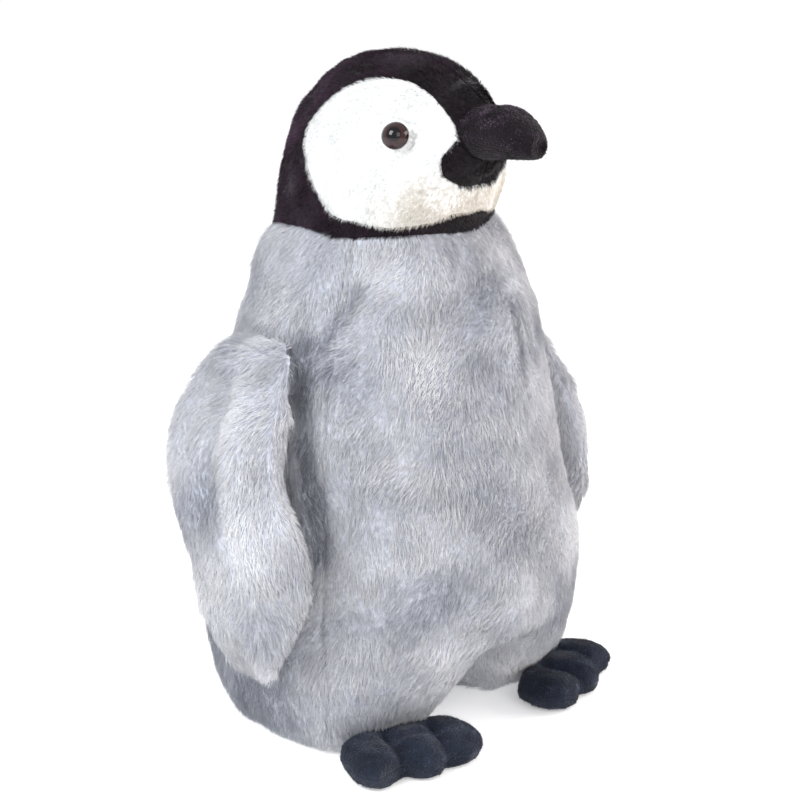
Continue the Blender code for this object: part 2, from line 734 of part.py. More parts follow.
def foot_grid(way, margin, side):
    """Loops of the foot's upper (way 1) or sole (way -1), from its seam to its middle."""
    loops = []
    for share in (1.0, 0.92, 0.72, 0.38):
        loop = []
        for a in steps(0, 2 * pi, 29)[:-1]:
            reach = foot_reach(a, margin) * share
            x, y = reach * sin(a), FOOT_MIDDLE + reach * cos(a)
            rim = sqrt(max(1 - share ** 2, 0.0))
            if way > 0:
                lobe = sqrt(max(min(toe_field(x, y), 1.0), 0.0))
                z = FOOT_SEAM_Z + SOLE_SEAM_GAP + (FOOT_RISE - margin) * rim ** 0.8 * (0.45 + 0.55 * lobe)
            else:
                z = margin + (FOOT_SEAM_Z - SOLE_SEAM_GAP - margin) * (1 - min(rim * 1.9, 1.0))
            loop.append(foot_to_world(Vector((x, y, z)), side))
        loops.append(loop)
    return loops


def foot_pivot(side):
    point = foot_to_world(Vector((0.0, 0.0, 0.0)), side)
    return Vector((point.x, point.y, FOOT_HINGE_Z))


def build_foot(side, fleece, sole, filling):
    pivot = foot_pivot(side)
    for name, way, surface in (("upper", 1, fleece), ("sole", -1, sole)):
        flat, faces = cup_solid(foot_grid(way, 0.0, side), foot_grid(way, FLEECE, side))
        add_object(f"foot_{side}_{name}", flat, faces, surface, pivot=pivot)
    margin = FLEECE + FOOT_FILL_CLEARANCE
    low = foot_grid(-1, margin, side)
    high = foot_grid(1, margin, side)
    flat, faces = loop_solid(list(reversed(low[1:])) + high[1:])
    add_object(f"foot_{side}_fill", flat, faces, filling, pivot=pivot)


# ---- tail and label ----
def tail_root():
    back = along(BODY_ROWS, TAIL_SECTION)[3]
    return Vector((0.0, back + 0.0006, TAIL_ROOT_Z))


def tail_point(k, u, level, margin):
    """k along the tail, u across it, level from its under to its upper face."""
    shape = sqrt(max(1 - k ** 2.2, 0.0))
    half_width = max(TAIL_HALF_WIDTH * shape - margin, 0.0005)
    half_thick = max(TAIL_HALF_THICK * shape ** 0.7 - margin, 0.0003)
    x = half_width * sin(u * pi / 2)
    rounding = max(cos(u * pi / 2), 0.0) ** 0.8
    local = Vector((x, TAIL_LENGTH * k, level * half_thick * rounding))
    turn = Matrix.Rotation(TAIL_DROOP, 3, "X")
    bow = 0.0014 * (x / TAIL_HALF_WIDTH) ** 2
    return tail_root() + Vector((0, 0.0036 - bow, 0)) + turn @ local


def build_tail(pile, filling):
    pivot = tail_root()
    for name, way in (("tail_upper", 1), ("tail_under", -1)):
        grids = []
        for margin in (0.0, FLIPPER_CLOTH):
            lines = []
            for k in steps(0.0, 0.97, 5):
                line = []
                for u in steps(-0.97, 0.97, 7):
                    point = tail_point(k, u, way, margin)
                    point.z += EDGE_SEAM_GAP * way
                    line.append(point)
                lines.append(line)
            grids.append(lines)
        flat, faces = sheet_solid(*grids)
        add_object(name, flat, faces, pile, pivot=pivot)
    margin = FLIPPER_CLOTH + FILL_CLEARANCE
    loops = []
    for k in steps(0.06, 0.88, 6):
        loop = [tail_point(k, u, 1, margin) for u in steps(-0.96, 0.96, 7)]
        loop += [tail_point(k, u, -1, margin) for u in steps(0.75, -0.75, 5)]
        loops.append(loop)
    flat, faces = loop_solid(loops)
    add_object("tail_fill", flat, faces, filling, pivot=pivot)


def care_label(surface):
    """A blank satin ribbon hanging from the rear seam, to the left of the tail."""
    width, thick, drop = LABEL_SIZE
    _, half_width, _, back = along(BODY_ROWS, TAIL_SECTION)
    power = section_power(LABEL_TOP, in_front=False)
    y = back * (1 - abs(LABEL_INNER_EDGE / half_width) ** power) ** (1 / power) + 0.0015
    points = []
    for z in (LABEL_TOP, LABEL_TOP - drop):
        for dx, dy in ((0, 0), (width, 0), (width, thick), (0, thick)):
            points.append(Vector((LABEL_INNER_EDGE + dx, y + dy, z)))
    faces = [(0, 1, 2, 3), (7, 6, 5, 4), (0, 4, 5, 1), (1, 5, 6, 2), (2, 6, 7, 3), (3, 7, 4, 0)]
    add_object("care_label", points, faces, surface, smooth=False)


def main():
    clear_scene()
    grey_pile = material("grey_pile", (0.52, 0.55, 0.60), 0.95)
    black_pile = material("black_pile", (0.035, 0.024, 0.032), 0.85)
    white_pile = material("white_pile", (0.90, 0.91, 0.92), 0.95)
    black_fleece = material("black_fleece", (0.028, 0.020, 0.028), 0.9)
    slate_fleece = material("slate_fleece", (0.032, 0.038, 0.065), 0.9)
    slate_sole = material("slate_sole", (0.028, 0.034, 0.055), 0.9)
    base_cloth = material("base_cloth", (0.45, 0.47, 0.51), 0.95)
    filling = material("polyester_filling", (0.92, 0.92, 0.90), 1.0)
    pouch_cloth = material("pouch_cloth", (0.80, 0.79, 0.75), 0.9)
    pellets = material("pellets", (0.86, 0.86, 0.84), 0.5)
    eye_lens = material("eye_lens", (0.060, 0.030, 0.022), 0.08)
    eye_post = material("eye_post", (0.012, 0.011, 0.012), 0.35)
    washer = material("washer", (0.75, 0.75, 0.73), 0.4)
    label = material("label", (0.88, 0.88, 0.87), 0.5)

    build_body(grey_pile)
    base_panel(base_cloth)
    body_stuffing(filling)
    pellet_pouch(pouch_cloth, pellets)
    build_head(black_pile, white_pile)
    head_stuffing(filling)
    build_eyes(eye_lens, eye_post, washer)
    open_eye_holes()
    build_beak(black_fleece, filling)
    for side in ("left", "right"):
        flipper_panel(f"flipper_{side}_outer", 1, side, grey_pile)
        flipper_panel(f"flipper_{side}_inner", -1, side, grey_pile)
        flipper_fill(side, filling)
        build_foot(side, slate_fleece, slate_sole, filling)
    build_tail(grey_pile, filling)
    care_label(label)


main()
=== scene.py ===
"""Looks of the plush penguin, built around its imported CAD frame.

Every stuffed part is one closed form: the frame's panels and filling are joined, remeshed, shrunk a
little and swollen again by cloth pressure. The form is then cut along the panel seams into fabric
panels with thickness, and the pile is grown on them as tapered strands.
"""

import json
import math

import bmesh
import bpy
import numpy as np
from mathutils import Matrix, Vector
from mathutils.bvhtree import BVHTree
from mathutils.kdtree import KDTree


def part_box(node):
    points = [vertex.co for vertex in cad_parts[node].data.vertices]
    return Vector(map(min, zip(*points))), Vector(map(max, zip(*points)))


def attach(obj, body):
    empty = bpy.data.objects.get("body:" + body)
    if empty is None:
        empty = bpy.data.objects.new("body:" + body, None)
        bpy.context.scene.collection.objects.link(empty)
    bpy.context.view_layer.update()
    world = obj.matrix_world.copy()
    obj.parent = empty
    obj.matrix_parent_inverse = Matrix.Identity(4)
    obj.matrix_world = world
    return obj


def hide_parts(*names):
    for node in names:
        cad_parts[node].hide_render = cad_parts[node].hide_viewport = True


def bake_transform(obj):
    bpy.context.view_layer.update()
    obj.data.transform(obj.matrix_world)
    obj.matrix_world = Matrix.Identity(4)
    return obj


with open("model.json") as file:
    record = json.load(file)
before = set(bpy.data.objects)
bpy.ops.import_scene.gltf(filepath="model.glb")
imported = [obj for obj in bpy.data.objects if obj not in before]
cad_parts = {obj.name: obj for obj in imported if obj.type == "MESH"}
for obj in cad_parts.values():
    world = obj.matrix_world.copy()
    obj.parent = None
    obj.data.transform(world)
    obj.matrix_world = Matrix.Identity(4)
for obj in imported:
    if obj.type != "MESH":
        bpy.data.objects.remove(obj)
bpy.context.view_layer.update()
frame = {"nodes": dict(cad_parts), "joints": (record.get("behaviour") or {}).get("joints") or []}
NODES = frame["nodes"]


JOINTS = {j["name"]: j for j in frame["joints"]}
RNG = np.random.default_rng(20)
SWELL_FRAMES = 20
MAX_STRANDS = 20000      # in one piece of pile
FLOOR_CLEARANCE = 0.0004  # under the lowest cloth and strands
MOST_ROOM = 0.0040       # how deep the thickness of a form is measured
CLOTH_THICK = 0.0012     # the fabric's backing; its pile stands on it
FLEECE_THICK = 0.0010

EYE_RADIUS = 0.0064
ARCH_TALL = 0.022        # how far the belly's lower edge rises between the feet


# ---------------------------------------------------------------- numbers and fields

def linear(*srgb):
    """An sRGB colour, 0 to 255, as a linear colour with alpha."""
    c = np.array(srgb, float) / 255.0
    c = np.where(c <= 0.04045, c / 12.92, ((c + 0.055) / 1.055) ** 2.4)
    return (*c.tolist(), 1.0)


def unit(v):
    return v / np.maximum(np.linalg.norm(v, axis=-1, keepdims=True), 1e-12)


def noise(points, size, seed, waves=14):
    """Smooth noise of about unit strength, whose features are about size metres across."""
    rng = np.random.default_rng(seed)
    k = unit(rng.normal(size=(waves, 3))) * rng.uniform(0.6, 1.4, (waves, 1)) * math.pi / size
    phase = rng.uniform(0, 2 * math.pi, waves)
    return np.sin(points @ k.T + phase).sum(1) / math.sqrt(waves / 2)


def smoothstep(low, high, x):
    t = np.clip((x - low) / (high - low), 0, 1)
    return t * t * (3 - 2 * t)


def to_segment(points, a, b):
    """Distance of each point from the segment a-b, and how far along it is, 0 to 1."""
    a, b = np.array(a, float), np.array(b, float)
    d = b - a
    t = np.clip((points - a) @ d / (d @ d), 0, 1)
    return np.linalg.norm(points - (a + t[:, None] * d), axis=1), t


# ---------------------------------------------------------------- materials

def new_material(name, rough, sheen=0.0, coat=0.0, specular=0.15):
    mat = bpy.data.materials.new(name)
    mat.use_nodes = True
    shader = mat.node_tree.nodes["Principled BSDF"]
    shader.inputs["Roughness"].default_value = rough
    shader.inputs["Sheen Weight"].default_value = sheen
    shader.inputs["Sheen Roughness"].default_value = 0.5
    shader.inputs["Coat Weight"].default_value = coat
    shader.inputs["Specular IOR Level"].default_value = specular
    return mat, mat.node_tree, shader


def add_node(tree, kind, **values):
    node = tree.nodes.new(kind)
    for key, value in values.items():
        if key in node.inputs:
            node.inputs[key].default_value = value
        else:
            setattr(node, key, value)
    return node


def noise_node(tree, coords, size, detail=3.0, roughness=0.55):
    node = add_node(tree, "ShaderNodeTexNoise", Scale=0.5 / size, Detail=detail, Roughness=roughness)
    tree.links.new(coords.outputs["Object"], node.inputs["Vector"])
    return node


def mix_colour(tree, factor, a, b, blend="MIX"):
    """A colour mix. Each of factor, a and b is a value or an output socket."""
    node = add_node(tree, "ShaderNodeMix", data_type="RGBA", blend_type=blend)
    for socket, value in ((node.inputs[0], factor), (node.inputs[6], a), (node.inputs[7], b)):
        if isinstance(value, bpy.types.NodeSocket):
            tree.links.new(value, socket)
        else:
            socket.default_value = value
    return node.outputs[2]


def ranged(tree, socket, low, high, new_low=0.0, new_high=1.0):
    node = add_node(tree, "ShaderNodeMapRange")
    node.inputs["From Min"].default_value = low
    node.inputs["From Max"].default_value = high
    node.inputs["To Min"].default_value = new_low
    node.inputs["To Max"].default_value = new_high
    tree.links.new(socket, node.inputs["Value"])
    return node.outputs["Result"]


def cloth_material(name, dark, light, rough=0.9, patch=0.02, grain=0.0008, depth=0.0003, sheen=0.15,
                   nubs=None):
    """Fabric: patches of two tones, a fine grain in colour and roughness, and a raised grain."""
    mat, tree, shader = new_material(name, rough, sheen)
    coords = add_node(tree, "ShaderNodeTexCoord")
    patches = noise_node(tree, coords, patch)
    fine = noise_node(tree, coords, grain, detail=2.0)
    tone = mix_colour(tree, ranged(tree, patches.outputs["Fac"], 0.35, 0.65), dark, light)
    specks = mix_colour(tree, ranged(tree, fine.outputs["Fac"], 0.3, 0.7),
                        (0.72, 0.72, 0.74, 1), (1.16, 1.16, 1.16, 1))
    tree.links.new(mix_colour(tree, 1.0, tone, specks, "MULTIPLY"), shader.inputs["Base Color"])
    tree.links.new(ranged(tree, fine.outputs["Fac"], 0.2, 0.8, rough - 0.12, min(rough + 0.08, 1)),
                   shader.inputs["Roughness"])
    bump = add_node(tree, "ShaderNodeBump", Strength=0.8, Distance=depth)
    height = fine.outputs["Fac"]
    if nubs:
        cells = add_node(tree, "ShaderNodeTexVoronoi", Scale=1.0 / nubs, Randomness=1.0)
        tree.links.new(coords.outputs["Object"], cells.inputs["Vector"])
        height = ranged(tree, cells.outputs["Distance"], 0.0, 0.9, 1.0, 0.0)
    tree.links.new(height, bump.inputs["Height"])
    tree.links.new(bump.outputs["Normal"], shader.inputs["Normal"])
    return mat


def woven_material(name, warp, weft, thread, rough=0.75):
    """Plain weave: two crossed sets of threads."""
    mat, tree, shader = new_material(name, rough, 0.1)
    coords = add_node(tree, "ShaderNodeTexCoord")
    waves = []
    for direction in ("X", "Y"):
        wave = add_node(tree, "ShaderNodeTexWave", Scale=0.5 / thread, Distortion=0.6,
                        bands_direction=direction)
        tree.links.new(coords.outputs["Object"], wave.inputs["Vector"])
        waves.append(wave.outputs["Fac"])
    both = add_node(tree, "ShaderNodeMath", operation="MULTIPLY")
    tree.links.new(waves[0], both.inputs[0])
    tree.links.new(waves[1], both.inputs[1])
    patches = noise_node(tree, coords, 0.012)
    tone = mix_colour(tree, patches.outputs["Fac"], warp, weft)
    gaps = ranged(tree, both.outputs[0], 0, 1, 0.25, 0)
    tree.links.new(mix_colour(tree, gaps, tone, (0.12, 0.12, 0.13, 1)), shader.inputs["Base Color"])
    bump = add_node(tree, "ShaderNodeBump", Strength=0.7, Distance=thread * 0.4)
    tree.links.new(both.outputs[0], bump.inputs["Height"])
    tree.links.new(bump.outputs["Normal"], shader.inputs["Normal"])
    return mat


def moulded_material(name, dark, light, rough, grain=0.0006):
    """Moulded plastic or pellets with slight tone variation and a fine texture."""
    mat, tree, shader = new_material(name, rough, 0.0, 0.1)
    coords = add_node(tree, "ShaderNodeTexCoord")
    fine = noise_node(tree, coords, grain)
    tree.links.new(mix_colour(tree, fine.outputs["Fac"], dark, light), shader.inputs["Base Color"])
    tree.links.new(ranged(tree, fine.outputs["Fac"], 0.2, 0.8, rough, rough + 0.15),
                   shader.inputs["Roughness"])
    bump = add_node(tree, "ShaderNodeBump", Strength=0.3, Distance=0.0001)
    tree.links.new(fine.outputs["Fac"], bump.inputs["Height"])
    tree.links.new(bump.outputs["Normal"], shader.inputs["Normal"])
    return mat


def strand_materials(name, colours, rough=0.65, sheen=0.0):
    """One plain shader for each shade of the pile; which strand has which shade follows a noise field."""
    made = []
    for i, colour in enumerate(colours):
        mat, _, shader = new_material(f"{name}_{i + 1}", rough, sheen)
        shader.inputs["Base Color"].default_value = linear(*colour)
        made.append(mat)
    return made


# ---------------------------------------------------------------- forms

def mesh_arrays(mesh):
    co = np.empty(len(mesh.vertices) * 3, np.float32)
    mesh.vertices.foreach_get("co", co)
    return co.reshape(-1, 3).astype(float)


def vertex_normals(mesh):
    out = np.empty(len(mesh.vertices) * 3, np.float32)
    mesh.vertices.foreach_get("normal", out)
    return out.reshape(-1, 3).astype(float)


def set_points(mesh, co):
    mesh.vertices.foreach_set("co", np.asarray(co, np.float32).ravel())
    mesh.update()


def new_object(name, vertices, faces):
    mesh = bpy.data.meshes.new(name)
    mesh.from_pydata([tuple(map(float, v)) for v in vertices], [], [tuple(map(int, f)) for f in faces])
    mesh.update()
    obj = bpy.data.objects.new(name, mesh)
    bpy.context.scene.collection.objects.link(obj)
    return obj


def node_tree_of(nodes):
    """A search tree over some CAD nodes, and which node each triangle belongs to."""
    vertices, faces, owner = [], [], []
    for index, n in enumerate(nodes):
        mesh, start = NODES[n].data, len(vertices)
        vertices += [v.co.copy() for v in mesh.vertices]
        faces += [tuple(i + start for i in p.vertices) for p in mesh.polygons]
        owner += [index] * len(mesh.polygons)
    return BVHTree.FromPolygons(vertices, faces), owner


def applied(obj):
    """The object's mesh with its modifiers, in place of the old mesh."""
    bpy.context.view_layer.update()
    graph = bpy.context.evaluated_depsgraph_get()
    mesh = bpy.data.meshes.new_from_object(obj.evaluated_get(graph))
    obj.modifiers.clear()
    old, obj.data = obj.data, mesh
    bpy.data.meshes.remove(old)
    return obj


def edge_array(mesh):
    out = np.empty(len(mesh.edges) * 2, np.int32)
    mesh.edges.foreach_get("vertices", out)
    return out.reshape(-1, 2)


def averaged(values, edges, count):
    """Each vertex's mean over its neighbours."""
    total = np.zeros((count, values.shape[1]))
    number = np.zeros(count)
    for a, b in ((0, 1), (1, 0)):
        np.add.at(total, edges[:, a], values[edges[:, b]])
        np.add.at(number, edges[:, a], 1)
    return total / np.maximum(number, 1)[:, None]


def outer_shell(obj):
    """Keeps only the largest connected piece of a remeshed object, its outside."""
    mesh = obj.data
    edges, label = edge_array(mesh), np.arange(len(mesh.vertices))
    while True:
        low = label.copy()
        np.minimum.at(low, edges[:, 0], label[edges[:, 1]])
        np.minimum.at(low, edges[:, 1], label[edges[:, 0]])
        low = low[low]
        if (low == label).all():
            break
        label = low
    names, counts = np.unique(label, return_counts=True)
    keep = label == names[counts.argmax()]
    index = np.cumsum(keep) - 1
    faces = [[index[i] for i in p.vertices] for p in mesh.polygons if keep[p.vertices[0]]]
    shell = new_object(obj.name + "_shell", mesh_arrays(mesh)[keep], faces)
    bpy.data.objects.remove(obj)
    return shell


def hull(points):
    """The convex hull of some points, which closes the open, unfilled end of a sewn part."""
    work = bmesh.new()
    for p in points:
        work.verts.new(p)
    result = bmesh.ops.convex_hull(work, input=work.verts)
    left_over = [*result["geom_interior"], *result["geom_unused"]]
    spare = {g for g in left_over if isinstance(g, bmesh.types.BMVert)}
    bmesh.ops.delete(work, geom=list(spare), context="VERTS")
    work.verts.index_update()
    vertices = [v.co[:] for v in work.verts]
    faces = [[v.index for v in f.verts] for f in work.faces]
    work.free()
    return vertices, faces


def room_inside(co, normals, faces, most):
    """How far each vertex may sink, up to most, before another part of the surface is nearer to it."""
    tree = BVHTree.FromPolygons([Vector(c) for c in co], faces)
    room = np.empty(len(co))
    for i, (p, n) in enumerate(zip(co, normals)):
        depth = most
        while depth > 0.0002 and tree.find_nearest(Vector(p - depth * n))[3] < 0.85 * depth:
            depth *= 0.75
        room[i] = depth
    return room


def eased(room, edges, times):
    """The room with its steps taken out, never more than it was."""
    for _ in range(times):
        room = np.minimum(room, averaged(room[:, None], edges, len(room))[:, 0])
    return room


SPARE_ROOM = 1.4         # the inset stays under the room there is, divided by this
PRESSURE = 4.0


class Form:
    """A closed stuffed shape made from some CAD nodes."""

    def __init__(self, name, panels, filling, voxel, inset, cap, opening, reach, shrink, smooth,
                 pins=None, floor=False):
        """The part made from these nodes, remeshed at voxel, sunk by inset and free to swell by cap.

        Its open end is where opening says so, and is closed by a plug that reaches into the neighbour.
        """
        self.panels, self.cap, self.pins, self.floor = panels, cap, pins, floor
        vertices, faces = [], []
        for n in [*panels, *filling]:
            mesh, start = NODES[n].data, len(vertices)
            vertices += [v.co[:] for v in mesh.vertices]
            faces += [[i + start for i in p.vertices] for p in mesh.polygons]
        end = np.array([v for v in vertices if opening(*v)])
        beyond = end.mean(0) + (end - end.mean(0)) * shrink + np.array(reach)
        plug, plug_faces = hull([*end.tolist(), *beyond.tolist()])
        faces += [[i + len(vertices) for i in f] for f in plug_faces]
        vertices += plug
        obj = new_object("form_" + name, vertices, faces)
        remesh = obj.modifiers.new("remesh", "REMESH")
        remesh.mode, remesh.voxel_size = "VOXEL", voxel
        obj = outer_shell(applied(obj))
        obj.name = "form_" + name
        mesh = obj.data
        co, edges = mesh_arrays(mesh), edge_array(mesh)
        for _ in range(smooth):  # takes out the steps of the voxels without shrinking the form
            for amount in (0.60, -0.62):
                co = co + amount * (averaged(co, edges, len(co)) - co)
        set_points(mesh, co)
        normals = vertex_normals(mesh)
        faces = [p.vertices[:] for p in mesh.polygons]
        room = room_inside(co, normals, faces, max(inset, 0.0001) * SPARE_ROOM)
        self.start = co - (eased(room, edges, 4) / SPARE_ROOM)[:, None] * normals
        set_points(mesh, self.start)
        self.obj = obj
        self.add_cloth()

    def add_cloth(self):
        group = self.obj.vertex_groups.new(name="held")
        if self.pins is not None:
            held = self.pins(self.start)
            for i in np.nonzero(held > 0.02)[0]:
                group.add([int(i)], float(min(held[i], 1)), "REPLACE")
        cloth = self.obj.modifiers.new("cloth", "CLOTH")
        s = cloth.settings
        s.quality = 5
        s.mass = 0.3
        s.air_damping = 1.0
        s.tension_stiffness = s.compression_stiffness = 12.0
        s.shear_stiffness = 6.0
        s.bending_stiffness = 0.6
        s.use_pressure = True
        s.uniform_pressure_force = PRESSURE
        s.effector_weights.gravity = 0.0
        s.vertex_group_mass = group.name
        s.pin_stiffness = 1.0
        cloth.collision_settings.use_collision = False

    def settle(self):
        """Takes the swollen shape, no point further than the cap from where it began, and refines it."""
        mesh = self.obj.data
        if self.obj.modifiers:
            graph = bpy.context.evaluated_depsgraph_get()
            swollen = mesh_arrays(self.obj.evaluated_get(graph).data)
            self.obj.modifiers.clear()
        else:
            held = self.pins(self.start) if self.pins is not None else np.zeros(len(self.start))
            swollen = self.start + vertex_normals(mesh) * (self.cap * (1 - np.clip(held, 0, 1)))[:, None]
        move = swollen - self.start
        size = np.linalg.norm(move, axis=1, keepdims=True)
        co = self.start + move * np.minimum(1, self.cap / np.maximum(size, 1e-9))
        if self.floor:
            low = co[:, 2].min()
            co[:, 2] -= (low - FLOOR_CLEARANCE) * (1 - smoothstep(0.0, 0.02, co[:, 2] - low))
        set_points(mesh, co)
        finer = self.obj.modifiers.new("finer", "SUBSURF")
        finer.levels = finer.render_levels = 1
        applied(self.obj)
        mesh = self.obj.data
        self.co, self.edges = mesh_arrays(mesh), edge_array(mesh)
        self.faces = np.array([p.vertices[:] for p in mesh.polygons])
        self.assign_panels()

    def assign_panels(self):
        """Which panel each face belongs to, with the seam lines smoothed and drawn in a little."""
        tree, owner = node_tree_of(self.panels)
        centres = self.co[self.faces].mean(1)
        self.region = np.array([owner[tree.find_nearest(Vector(c))[2]] for c in centres])
        first = np.full(len(self.co), -1)
        self.seam = np.zeros(len(self.co), bool)
        for k in range(self.faces.shape[1]):
            corner = self.faces[:, k]
            for index in range(len(self.panels)):
                here = corner[self.region == index]
                self.seam[here[(first[here] >= 0) & (first[here] != index)]] = True
                fresh = here[first[here] < 0]
                first[fresh] = index
        along = self.edges[self.seam[self.edges].all(1)]
        for _ in range(6):
            mean = averaged(self.co, along, len(self.co))
            linked = self.seam & np.isin(np.arange(len(self.co)), along)
            shift = np.where(linked[:, None], mean - self.co, 0)
            normal = self.normals()
            shift -= normal * (shift * normal).sum(1, keepdims=True)
            self.co = self.co + 0.5 * shift
            set_points(self.obj.data, self.co)

    def normals(self):
        set_points(self.obj.data, self.co)
        return vertex_normals(self.obj.data)

    def snapped(self, point):
        """The nearest point of the form's surface."""
        tree = BVHTree.FromPolygons([Vector(c) for c in self.co], self.faces.tolist())
        return tree.find_nearest(Vector(point))[0]

    def fair(self, times, where=1.0):
        """Takes out small steps without shrinking the form."""
        for _ in range(times):
            for amount in (0.60, -0.62):
                shift = averaged(self.co, self.edges, len(self.co)) - self.co
                self.co = self.co + amount * np.reshape(where, (-1, 1)) * shift
        set_points(self.obj.data, self.co)

    def soften(self, times):
        """Takes out the contour lines of the voxels. The form shrinks by far less than a millimetre."""
        for _ in range(times):
            self.co = 0.5 * (self.co + averaged(self.co, self.edges, len(self.co)))
        set_points(self.obj.data, self.co)

    def measure(self):
        """How deep the cloth and the filling may lie under each vertex of the shape as it is now."""
        room = room_inside(self.co, self.normals(), self.faces.tolist(), MOST_ROOM)
        self.room = eased(room, self.edges, 3)

    def push(self, amount):
        """Moves every vertex along its normal by amount, in metres, but never through a thin edge."""
        amount = np.maximum(np.asarray(amount), -0.35 * self.room)
        self.co = self.co + self.normals() * amount[:, None]
        set_points(self.obj.data, self.co)

    def contains(self, points, margin=0.0008):
        """Which points are inside the form, deeper than margin."""
        tree = BVHTree.FromPolygons([Vector(c) for c in self.co], self.faces.tolist())
        deep = np.zeros(len(points), bool)
        for i, p in enumerate(points):
            place, normal, _, _ = tree.find_nearest(Vector(p))
            deep[i] = (Vector(p) - place).dot(normal) < -margin
        return deep

    def draw_in_seams(self, depth):
        near = self.seam.astype(float)[:, None]
        for _ in range(2):
            near = np.maximum(near, 0.55 * averaged(near, self.edges, len(self.co)))
        self.push(-depth * near[:, 0])

    def panel(self, name, node, material, slot, body, thickness=CLOTH_THICK, crossing=None):
        """One fabric panel of the form, with thickness, in place of its CAD node."""
        faces = self.faces[self.region == self.panels.index(node)]
        used, inverse = np.unique(faces, return_inverse=True)
        faces = inverse.reshape(faces.shape)
        outer = self.co[used]
        inner = outer - np.minimum(thickness, 0.4 * self.room[used])[:, None] * self.normals()[used]
        count = len(used)
        seen = {}
        for f in faces:
            for a, b in zip(f, np.roll(f, -1)):
                seen[(int(a), int(b))] = True
        rim = [(b, a, a + count, b + count) for a, b in seen if (b, a) not in seen]
        everything = [tuple(f) for f in faces] + [tuple(f[::-1] + count) for f in faces] + rim
        obj = new_object(name, np.vstack([outer, inner]), everything)
        finish_piece(obj, material, body, crossing)
        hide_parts(node)
        return obj

    def pad(self, name, node, body, depth, crossing=None):
        """The filling inside the form, in place of its CAD node, with soft lumps."""
        lumps = depth * (1.15 + 0.15 * noise(self.co, 0.012, 61))
        sunk = self.co - np.minimum(lumps, 0.8 * self.room)[:, None] * self.normals()
        obj = new_object(name, sunk, self.faces)
        finish_piece(obj, FILLING, body, crossing)
        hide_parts(node)
        return obj

    def roots(self, node, density):
        """Random places on a panel: points, normals, in a fixed order."""
        faces = self.faces[self.region == self.panels.index(node)]
        corners = self.co[faces]
        diagonals = corners[:, 2] - corners[:, 0], corners[:, 3] - corners[:, 1]
        area = 0.5 * np.linalg.norm(np.cross(*diagonals), axis=1)
        count = int(area.sum() * density * 1e4)
        pick = RNG.choice(len(faces), count, p=area / area.sum())
        u, v = RNG.random((2, count, 1))
        weights = ((1 - u) * (1 - v), u * (1 - v), u * v, (1 - u) * v)
        normal = self.normals()
        point = sum(w * corners[pick, k] for k, w in enumerate(weights))
        facing = sum(w * normal[faces[pick, k]] for k, w in enumerate(weights))
        return point, unit(facing)


def finish_piece(obj, material, body, crossing=None):
    """Material, smooth shading, and the body the piece moves with."""
    for mat in material if isinstance(material, list) else [material]:
        obj.data.materials.append(mat)
    obj.data.polygons.foreach_set("use_smooth", np.ones(len(obj.data.polygons), bool))
    obj.data.update()
    if crossing:
        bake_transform(obj)
    else:
        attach(obj, body)


# ---------------------------------------------------------------- pile

TRIANGLE = np.radians((90.0, 210.0, 330.0))
QUADS = np.array(((0, 1, 4, 3), (1, 2, 5, 4), (2, 0, 3, 5)))
TIPS = np.array(((3, 4, 6), (4, 5, 6), (5, 3, 6)))
LOOPS = np.concatenate([QUADS.ravel(), TIPS.ravel()])
LOOP_STARTS = np.array((0, 4, 8, 12, 15, 18))


def strand_mesh(name, root, middle, tip, normal, width, shade):
    """Tapered three-sided strands, each bent once."""
    count = len(root)
    axis = unit(middle - root)
    side = unit(np.cross(axis, normal) + 1e-9)
    up = np.cross(axis, side)
    points = np.empty((count, 7, 3))
    for k, angle in enumerate(TRIANGLE):
        out = side * math.cos(angle) + up * math.sin(angle)
        points[:, k] = root + out * (width * 0.5)[:, None]
        points[:, 3 + k] = middle + out * (width * 0.42)[:, None]
    points[:, 6] = tip
    points[:, :, 2] = np.maximum(points[:, :, 2], FLOOR_CLEARANCE)
    mesh = bpy.data.meshes.new(name)
    mesh.vertices.add(count * 7)
    mesh.vertices.foreach_set("co", points.astype(np.float32).ravel())
    mesh.loops.add(count * 21)
    corners = np.arange(count)[:, None] * 7 + LOOPS
    mesh.loops.foreach_set("vertex_index", corners.astype(np.int32).ravel())
    mesh.polygons.add(count * 6)
    starts = np.arange(count)[:, None] * 21 + LOOP_STARTS
    mesh.polygons.foreach_set("loop_start", starts.astype(np.int32).ravel())
    mesh.polygons.foreach_set("material_index", np.repeat(shade.astype(np.int32), 6))
    mesh.update(calc_edges=True)
    obj = bpy.data.objects.new(name, mesh)
    bpy.context.scene.collection.objects.link(obj)
    return obj


ROOT_DEPTH = 0.0004      # a strand starts this far under the cloth


class Pile:
    """How one kind of pile looks.

    There are density strands on a square centimetre. Each rises from the cloth at the angle rise and
    bends over to the angle lie, in degrees. Strands within clump of each other are drawn together by
    pull. The shades change over patches, the more so the larger mottle is, and the nap wanders by spread.
    """

    def __init__(self, slot, materials, density, length, width, rise, lie, clump, pull, patch, spread,
                 mottle=1.0):
        self.slot, self.materials, self.density = slot, materials, density
        self.length, self.width = length, width
        self.rise, self.lie = math.radians(rise), math.radians(lie)
        self.clump, self.pull = clump, pull
        self.patch, self.spread, self.mottle = patch, spread, mottle


